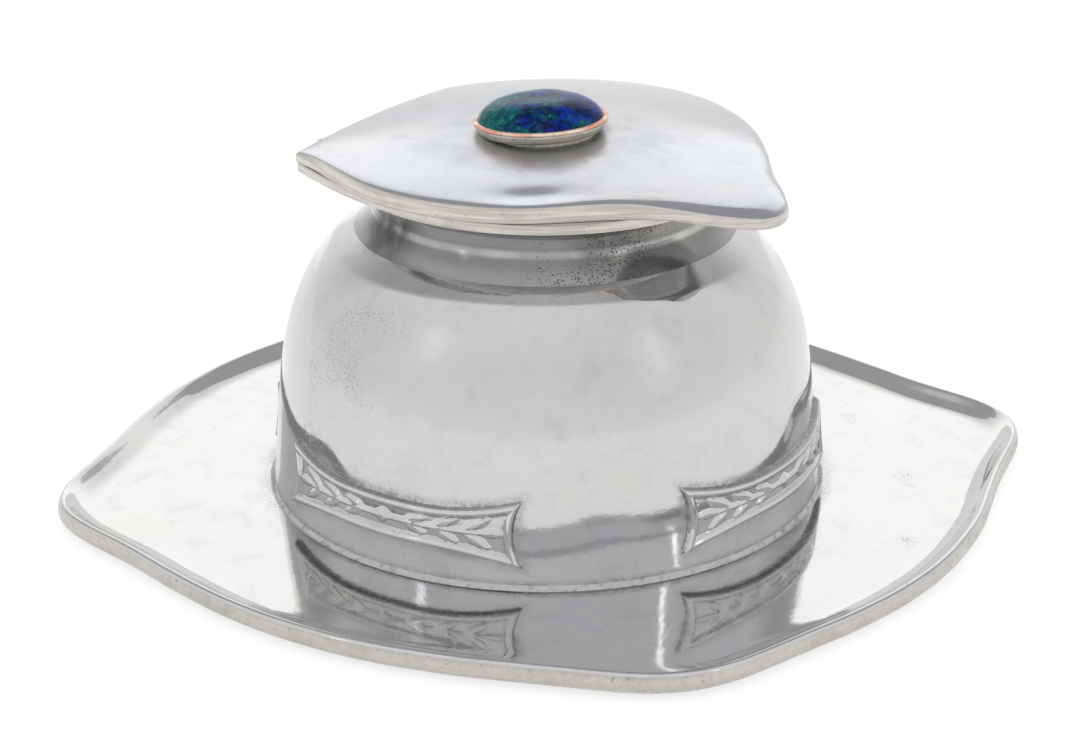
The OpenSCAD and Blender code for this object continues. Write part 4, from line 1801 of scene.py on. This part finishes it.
@dataclass
class EnamelSetting:
    """The enamel disc in its copper edge, on a pewter cup that stands on the lid.

    Args:
        at: Where it stands, from the axis.
        face_z: Height of the copper's upper face.
        lean: How far it leans, in degrees.
        towards: The direction in which it rises.
        copper_r: Radius of the copper.
        copper_t: Thickness of the copper.
        enamel_r: Radius of the enamel.
        enamel_h: Height of the enamel.
        cup_r: Radius of the cup's foot.
        dish_r: Radius of the underside of the cup's dish.
        cup_low: How far the cup reaches below the copper's upper face.
        steps: How many points each ring has.
        swell_rings: How many bands the enamel's dome has.
    """

    at: tuple[float, float] = (-0.45, 0.65)
    face_z: float = 67.3
    lean: float = 3.1
    towards: float = -96.0
    copper_r: float = 11.6
    copper_t: float = 0.7
    enamel_r: float = 10.85
    enamel_h: float = 3.6
    cup_r: float = 9.5
    dish_r: float = 10.65
    cup_low: float = 2.95
    steps: int = 180
    swell_rings: int = 26

    # Powers of the enamel's curve, which give it its soft shoulder.
    SWELL = (3.8, 0.78)

    def dressed(self, piece: Piece, name: str, slot: str, finish: Finish, node: str) -> None:
        """Lean a piece about the copper's upper face and put it on the lid.

        Args:
            piece: The piece.
            name: The object's name.
            slot: The record's material slot.
            finish: Its finish.
            node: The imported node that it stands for.
        """
        move = Matrix.Translation((*self.at, self.face_z))
        turn = Matrix.Rotation(math.radians(self.towards), 4, "Z")
        tilt = Matrix.Rotation(math.radians(-self.lean), 4, "Y")
        piece.moved(move @ turn @ tilt)
        piece.place(name, "lid", slot, (finish,), node, sharp=50.0)

    def cup(self) -> None:
        """Build the pewter cup."""
        piece = Piece()
        low, under, r = -self.cup_low, -self.copper_t - 0.03, self.copper_r
        section = [(0, low), (self.cup_r, low), (self.cup_r, -2.5), (self.cup_r + 0.25, -2.3)]
        section += [(self.dish_r - 0.3, -2.2), (self.dish_r, -2.0), (r - 0.7, -1.6)]
        section += [(r - 0.42, -1.2), (r - 0.25, -0.95), (r - 0.3, under), (0, under)]
        piece.lathe(section, self.steps)
        for vert in piece.bm.verts:
            if vert.co.xy.length > self.cup_r - 0.1:
                vert.co.xy *= 1 + 0.01 * waves(vert.co, 2.4, 3.3)
        # Painted shade, darker towards the cup's foot under its dish, where it faces the lid.
        piece.soil_and_shade(lambda spot: 0.2 * smooth(-1.8, -2.7, spot.z) * smooth(0.0, 1.0, spot.xy.length))
        self.dressed(piece, "enamel_cup", "pewter_dull", Finish.CUP, "cabochon_cup")

    def copper(self) -> None:
        """Build the copper disc with its rubbed edge."""
        piece = Piece()
        r, t = self.copper_r, self.copper_t
        section = [(0, -t), (r - 0.2, -t), (r - 0.04, -t + 0.12), (r, -t / 2), (r - 0.05, -0.14)]
        section += [(r - 0.22, -0.01), (r - 0.5, 0.02), (self.enamel_r - 0.2, 0.0), (0, 0.0)]
        piece.lathe(section, self.steps)
        for vert in piece.bm.verts:
            if vert.co.xy.length > self.enamel_r:
                wobble = waves(vert.co, 1.7, 8.1) + waves(vert.co, 5.0, 2.2)
                vert.co.xy *= 1 + 0.006 * (wobble - 0.8)
        self.dressed(piece, "copper_edge", "copper", Finish.COPPER, "copper_disc")

    def enamel(self) -> None:
        """Build the enamel, a low dome with a soft shoulder."""
        piece = Piece()
        section = [(0.0, -0.02), (self.enamel_r - 0.1, -0.02)]
        for i in range(self.swell_rings + 1):
            share = 1 - i / self.swell_rings
            swell = (1 - share ** self.SWELL[0]) ** self.SWELL[1]
            section.append((self.enamel_r * share, self.enamel_h * swell + 0.02))
        piece.lathe(section, self.steps)
        for vert in piece.bm.verts:
            if vert.co.z > 0.1:
                vert.co.z += 0.09 * waves(vert.co, 4.5, 6.6) * smooth(0, 1.5, vert.co.z)
        self.dressed(piece, "enamel_dome", "enamel", Finish.ENAMEL, "enamel_cabochon")

    def build(self) -> None:
        """Build the three pieces."""
        self.cup()
        self.copper()
        self.enamel()


# Hinge ----------------------------------------------------------------------------------------


@dataclass
class Hinge:
    """The hinge at the back: two knuckles on the flange, one on the lid, and the pin.

    Args:
        pin_y: Distance of the pin behind the dome's axis.
        pin_z: Height of the pin.
        barrel_r: Outer radius of the knuckles.
        pin_r: Radius of the pin.
        middle_l: Length of the lid's knuckle.
        end_l: Length of each of the flange's knuckles.
        gap: Gap between two knuckles.
        side_y: Where the hinge side of the lid lies.
        running: Clearance between a knuckle and the pin.
        seat_z: Height of the lid's flat underside.
        soft: Width of a knuckle's bevels.
        head: How far the pin's two heads stand out, round it and at its ends.
        root: How deep the lid's tongue and the flange's reach into their plates.
        tongue_t: Thickness of the flange's tongues.
        steps: How many points each ring has.
    """

    pin_y: float = 38.1
    pin_z: float = 58.8
    barrel_r: float = 1.55
    pin_r: float = 0.7
    middle_l: float = 10.0
    end_l: float = 8.1
    gap: float = 0.2
    side_y: float = 35.4
    running: float = 0.06
    seat_z: float = 59.4
    soft: float = 0.22
    head: tuple[float, float] = (0.35, 0.45)
    root: tuple[float, float] = (0.02, 0.22)
    tongue_t: float = 1.4
    steps: int = 48

    def laid(self, section: Section, closed: bool) -> Piece:
        """Return a piece that is turned from a section and laid on the pin's axis.

        Args:
            section: Pairs of distance from the pin's axis and place along X.
            closed: Whether the section is a loop.

        Returns:
            The piece.
        """
        piece = Piece()
        piece.lathe(section, self.steps, closed)
        move = Matrix.Translation((0, self.pin_y, self.pin_z))
        piece.moved(move @ Matrix.Rotation(math.radians(90), 4, "Y"))
        return piece

    def tongue(self, piece: Piece, low: tuple, high: tuple) -> None:
        """Add the bevelled block that joins a knuckle to its plate, between two corners.

        Args:
            piece: The knuckle.
            low: The block's lowest corner.
            high: Its highest corner.
        """
        bm = piece.bm
        made = bmesh.ops.create_cube(bm, size=1.0)["verts"]
        bmesh.ops.scale(bm, vec=Vector(high) - Vector(low), verts=made)
        bmesh.ops.translate(bm, vec=(Vector(high) + Vector(low)) / 2, verts=made)
        edges = list({edge for vert in made for edge in vert.link_edges})
        bmesh.ops.bevel(
            bm, geom=edges, offset=0.15, segments=2, profile=0.5, affect="EDGES", material=-1
        )

    def knuckle(self, name: str, node: str, start: float, end: float, on_lid: bool) -> None:
        """Build one knuckle with its tongue.

        Args:
            name: The object's name.
            node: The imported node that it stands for.
            start: Where it starts along X.
            end: Where it ends.
            on_lid: Whether it moves with the lid.
        """
        outer, bore = self.barrel_r, self.pin_r + self.running
        section = [(outer - self.soft, start), (outer, start + self.soft), (outer, end - self.soft)]
        section += [(outer - self.soft, end), (bore, end), (bore, start)]
        piece = self.laid(section, closed=True)
        if on_lid:
            low = (start, self.side_y - self.root[0], self.seat_z + 0.1)
            high = (end, self.pin_y - 1.0, self.pin_z + outer)
        else:
            low = (start, self.side_y - self.root[1], self.pin_z - outer)
            high = (end, self.pin_y - 1.0, self.pin_z - outer + self.tongue_t)
        self.tongue(piece, low, high)
        piece.soil_and_shade(lambda spot: 0.4 + 0.4 * waves(spot, 2.0, 4.0))
        body = "lid" if on_lid else "stand"
        piece.place(name, body, "pewter_dull", (Finish.SOLDER,), node, sharp=35.0)

    def build(self) -> None:
        """Build the three knuckles and the pin."""
        half, inner = self.middle_l / 2, self.middle_l / 2 + self.gap
        outer = inner + self.end_l
        self.knuckle("hinge_left", "hinge_knuckle_left", -outer, -inner, False)
        self.knuckle("hinge_right", "hinge_knuckle_right", inner, outer, False)
        self.knuckle("hinge_middle", "hinge_knuckle_lid", -half, half, True)
        head, end = self.pin_r + self.head[0], outer + self.head[1]
        section = [(0, -end), (head * 0.7, -end + 0.09), (head, -end + 0.35)]
        section += [(head, -outer), (self.pin_r, -outer)]
        section += [(r, -x) for r, x in reversed(section)]
        piece = self.laid(section, closed=False)
        piece.place("hinge_rod", "stand", "pewter_dull", (Finish.CUP,), "hinge_pin", sharp=35.0)


# Liner ----------------------------------------------------------------------------------------


@dataclass
class Liner:
    """The glass pot for the ink, which hangs by its rim in the neck.

    Args:
        ledge_z: Height of the ledge that its rim rests on.
        rim_t: Thickness of its rim.
        rim_r: Radius of its rim.
        body_r: Radius of its body.
        wall: Its wall.
        height: Its whole height.
        corner: Radius of its lower corners.
        lip: Radii of the rim's outer and inner rounding.
        steps: How many points each ring has.
    """

    ledge_z: float = 54.3
    rim_t: float = 1.8
    rim_r: float = 28.1
    body_r: float = 25.4
    wall: float = 3.0
    height: float = 40.3
    corner: float = 3.2
    lip: tuple[float, float] = (0.5, 0.6)
    steps: int = 180

    def build(self) -> None:
        """Build the liner."""
        piece = Piece()
        top = self.ledge_z + self.rim_t
        low = top - self.height
        inner_r, floor_z, c = self.body_r - self.wall, low + self.wall, self.corner
        out, inside = self.lip
        section = [(0.0, low)]
        section += arc((self.body_r - c, low + c), c, -90, 0, 8)
        section += [(self.body_r, self.ledge_z - 0.2), (self.body_r + 0.2, self.ledge_z)]
        section += [(self.rim_r - 0.2, self.ledge_z), (self.rim_r, self.ledge_z + 0.2)]
        section += arc((self.rim_r - out, top - out), out, 0, 90, 4)
        section += arc((inner_r + inside, top - inside), inside, 90, 180, 4)
        section += arc((inner_r - c, floor_z + c), c, 0, -90, 8)
        section += [(0.0, floor_z)]
        piece.lathe(section, self.steps)
        piece.place("ink_pot", "liner", "liner_glass", (Finish.GLASS,), "ink_liner")


# Studio ---------------------------------------------------------------------------------------


@dataclass
class Lamp:
    """A soft flat lamp that faces the inkstand.

    Args:
        name: Its name.
        heading: Its direction, in degrees from the camera's side, seen from above.
        height: How high it hangs above the horizon, in degrees.
        width: Its width, in metres.
        tall: Its height, in metres.
        glow: How bright its face is. It adds to the white behind it, which is 1.
        away: Its distance, in metres.
    """

    name: str
    heading: float
    height: float
    width: float
    tall: float
    glow: float
    away: float = 1.1

    def hang(self, camera_side: float) -> None:
        """Hang the lamp, whose heading counts from the camera's side.

        Args:
            camera_side: The direction of the camera's side, in degrees.
        """
        data = bpy.data.lights.new(self.name, "AREA")
        data.shape = "RECTANGLE"
        data.size, data.size_y = self.width, self.tall
        data.energy = self.glow * math.pi * self.width * self.tall
        lift = math.radians(self.height)
        at = turned(camera_side + self.heading, self.away * math.cos(lift), 0)
        at.z = self.away * math.sin(lift)
        aim = (-at).to_track_quat("-Z", "Y").to_matrix().to_4x4()
        in_scene(self.name, data).matrix_world = Matrix.Translation(at) @ aim


@dataclass
class Studio:
    """A plain white floor under soft light, and the camera.

    Args:
        camera_at: Where the camera stands, in metres.
        looks_along: The direction that it looks in.
        roll: How far it is turned about that direction, in degrees.
        lens: Its focal length, in millimetres.
        sensor: The width of its sensor, in millimetres.
        clip: The nearest and the farthest that it sees, in metres.
        floor_tone: How pale the floor is.
        floor_half: Half the floor's width, in metres.
        floor_low: How far the floor lies below the tray, in metres.
        floor_glow: How much the floor adds to itself for the camera and in metal.
        room_tone: How strongly the room lights matte surfaces.
        ceiling_tone: How bright the ceiling shows in metal, where 1 is white.
        ceiling_mid: How far behind the zenith the middle of the darker ceiling lies.
        ceiling_half: Half the ceiling's reach front to back, and side to side.
        aisle_tone: How bright the room behind the camera shows in metal.
        aisle_up: How high the middle of that room lies, as the height of a line one long.
        lamps: Its lamps.
    """

    camera_at: Place = (-0.3400, -0.2280, 0.1882)
    looks_along: Place = (0.7667, 0.5171, -0.3804)
    roll: float = -0.28
    lens: float = 83.333
    sensor: float = 36.0
    clip: tuple[float, float] = (0.01, 50.0)
    floor_tone: float = 0.8
    floor_half: float = 3.0
    floor_low: float = 0.00002
    floor_glow: float = 0.5
    room_tone: float = 0.75
    ceiling_tone: float = 0.5
    ceiling_mid: float = 0.42
    ceiling_half: tuple[float, float] = (0.42, 0.78)
    aisle_tone: float = 0.94
    aisle_up: float = 0.46
    lamps: tuple[Lamp, ...] = (
        Lamp("back_lamp", 180.0, 32.0, 1.1, 0.5, 0.5),
        Lamp("left_lamp", -57.0, 33.0, 0.06, 0.25, 1.2),
        Lamp("right_lamp", 52.0, 27.0, 0.03, 0.52, 1.9),
    )

    # Where each darker part of the room starts to fade and where the fade ends.
    CEILING_FADE = (0.45, 1.35)
    AISLE_FADE = (0.06, 0.22)
    AISLE_FRONT = (0.45, 0.8)
    HORIZON_FADE = (0.0, 0.2)

    def camera(self) -> None:
        """Place the camera."""
        data = bpy.data.cameras.new("camera")
        data.lens = self.lens
        data.sensor_width = self.sensor
        data.clip_start, data.clip_end = self.clip
        camera = in_scene("camera", data)
        aim = Vector(self.looks_along).to_track_quat("-Z", "Y").to_matrix().to_4x4()
        turn = Matrix.Rotation(math.radians(self.roll), 4, "Z")
        camera.matrix_world = Matrix.Translation(self.camera_at) @ aim @ turn
        bpy.context.scene.camera = camera

    def rays(self, sheet: NodeSheet) -> tuple[Socket, Socket]:
        """Return two values, 1 for a ray from the camera, and for one off metal or glass.

        Args:
            sheet: The node sheet.

        Returns:
            The two values.
        """
        path = sheet.add("ShaderNodeLightPath", {}).outputs
        off_metal = sheet.sum("MAXIMUM", path["Is Glossy Ray"], path["Is Transmission Ray"])
        return path["Is Camera Ray"], off_metal

    def floor(self) -> None:
        """Lay the floor, which the camera sees as white with the object's soft shadow."""
        bm = bmesh.new()
        bmesh.ops.create_grid(bm, x_segments=1, y_segments=1, size=self.floor_half)
        bmesh.ops.translate(bm, vec=(0, 0, -self.floor_low), verts=bm.verts)
        mesh = bpy.data.meshes.new("floor")
        bm.to_mesh(mesh)
        bm.free()
        floor = in_scene("floor", mesh)
        sheet = NodeSheet("floor_paper")
        tone = (self.floor_tone,) * 3 + (1.0,)
        paper = sheet.add("ShaderNodeBsdfDiffuse", {"Color": tone})
        seen = sheet.sum("MAXIMUM", *self.rays(sheet))
        glow = sheet.add("ShaderNodeEmission", {"Strength": sheet.times(seen, self.floor_glow)})
        both = sheet.add("ShaderNodeAddShader", {0: paper.outputs[0], 1: glow.outputs[0]})
        sheet.add("ShaderNodeOutputMaterial", {"Surface": both.outputs[0]})
        mesh.materials.append(sheet.material)

    def mirrored(self, sheet: NodeSheet, facing: Socket) -> Socket:
        """Return how bright the room shows in metal, in a direction that counts from the camera.

        Args:
            sheet: The world's node sheet.
            facing: The direction, turned so that X points at the camera.

        Returns:
            The brightness, where 1 is white.
        """
        forward, sideways, up = sheet.add("ShaderNodeSeparateXYZ", {0: facing}).outputs
        half_deep, half_wide = self.ceiling_half
        deep = sheet.sum("DIVIDE", sheet.sum("ADD", forward, self.ceiling_mid), half_deep)
        wide = sheet.sum("DIVIDE", sideways, half_wide)
        reach = sheet.sum("ADD", sheet.times(deep, deep), sheet.times(wide, wide))
        overhead = sheet.span(reach, *self.CEILING_FADE, self.ceiling_tone, 1.0)
        level = sheet.span(sheet.off(up, self.aisle_up), *self.AISLE_FADE, 1.0, 0.0)
        aisle = sheet.times(sheet.span(forward, *self.AISLE_FRONT), level)
        dimmed = sheet.span(aisle, 0.0, 1.0, 1.0, self.aisle_tone)
        above = sheet.span(up, *self.HORIZON_FADE)
        return sheet.between(above, 1.0, sheet.times(overhead, dimmed))

    def surroundings(self) -> None:
        """Surround the set with white that darkens in metal towards the ceiling."""
        world = bpy.data.worlds.new("surroundings")
        bpy.context.scene.world = world
        world.use_nodes = True
        sheet = NodeSheet.over(world.node_tree)
        coords = sheet.add("ShaderNodeTexCoord", {}).outputs["Generated"]
        facing = sheet.mapped(coords, (1.0, 1.0, 1.0), (0, 0, -self.side()))
        shown = self.mirrored(sheet, facing)
        from_camera, off_metal = self.rays(sheet)
        matte = sheet.between(from_camera, self.room_tone, 1.0)
        strength = sheet.between(off_metal, matte, shown)
        back = sheet.add("ShaderNodeBackground", {"Color": (1, 1, 1, 1), "Strength": strength})
        sheet.add("ShaderNodeOutputWorld", {"Surface": back.outputs[0]})

    def side(self) -> float:
        """Return the camera's side, in degrees."""
        return heading_of(Vector(self.camera_at))

    def build(self) -> None:
        """Build the whole set."""
        self.camera()
        self.floor()
        self.surroundings()
        for lamp in self.lamps:
            lamp.hang(self.side())
        bpy.context.scene.view_settings.view_transform = "Standard"


def main() -> None:
    """Build the inkstand and its set, piece by piece."""
    logging.basicConfig(level=logging.INFO, format="%(name)s: %(message)s")
    Studio().build()
    dome = Dome()
    straps = Straps(dome)
    Tray().build()
    dome.build(straps)
    straps.build()
    FootBead().build()
    Neck().build()
    Fillet(dome).build()
    Lid().build()
    EnamelSetting().build()
    Hinge().build()
    Liner().build()


if __name__ == "__main__":
    main()
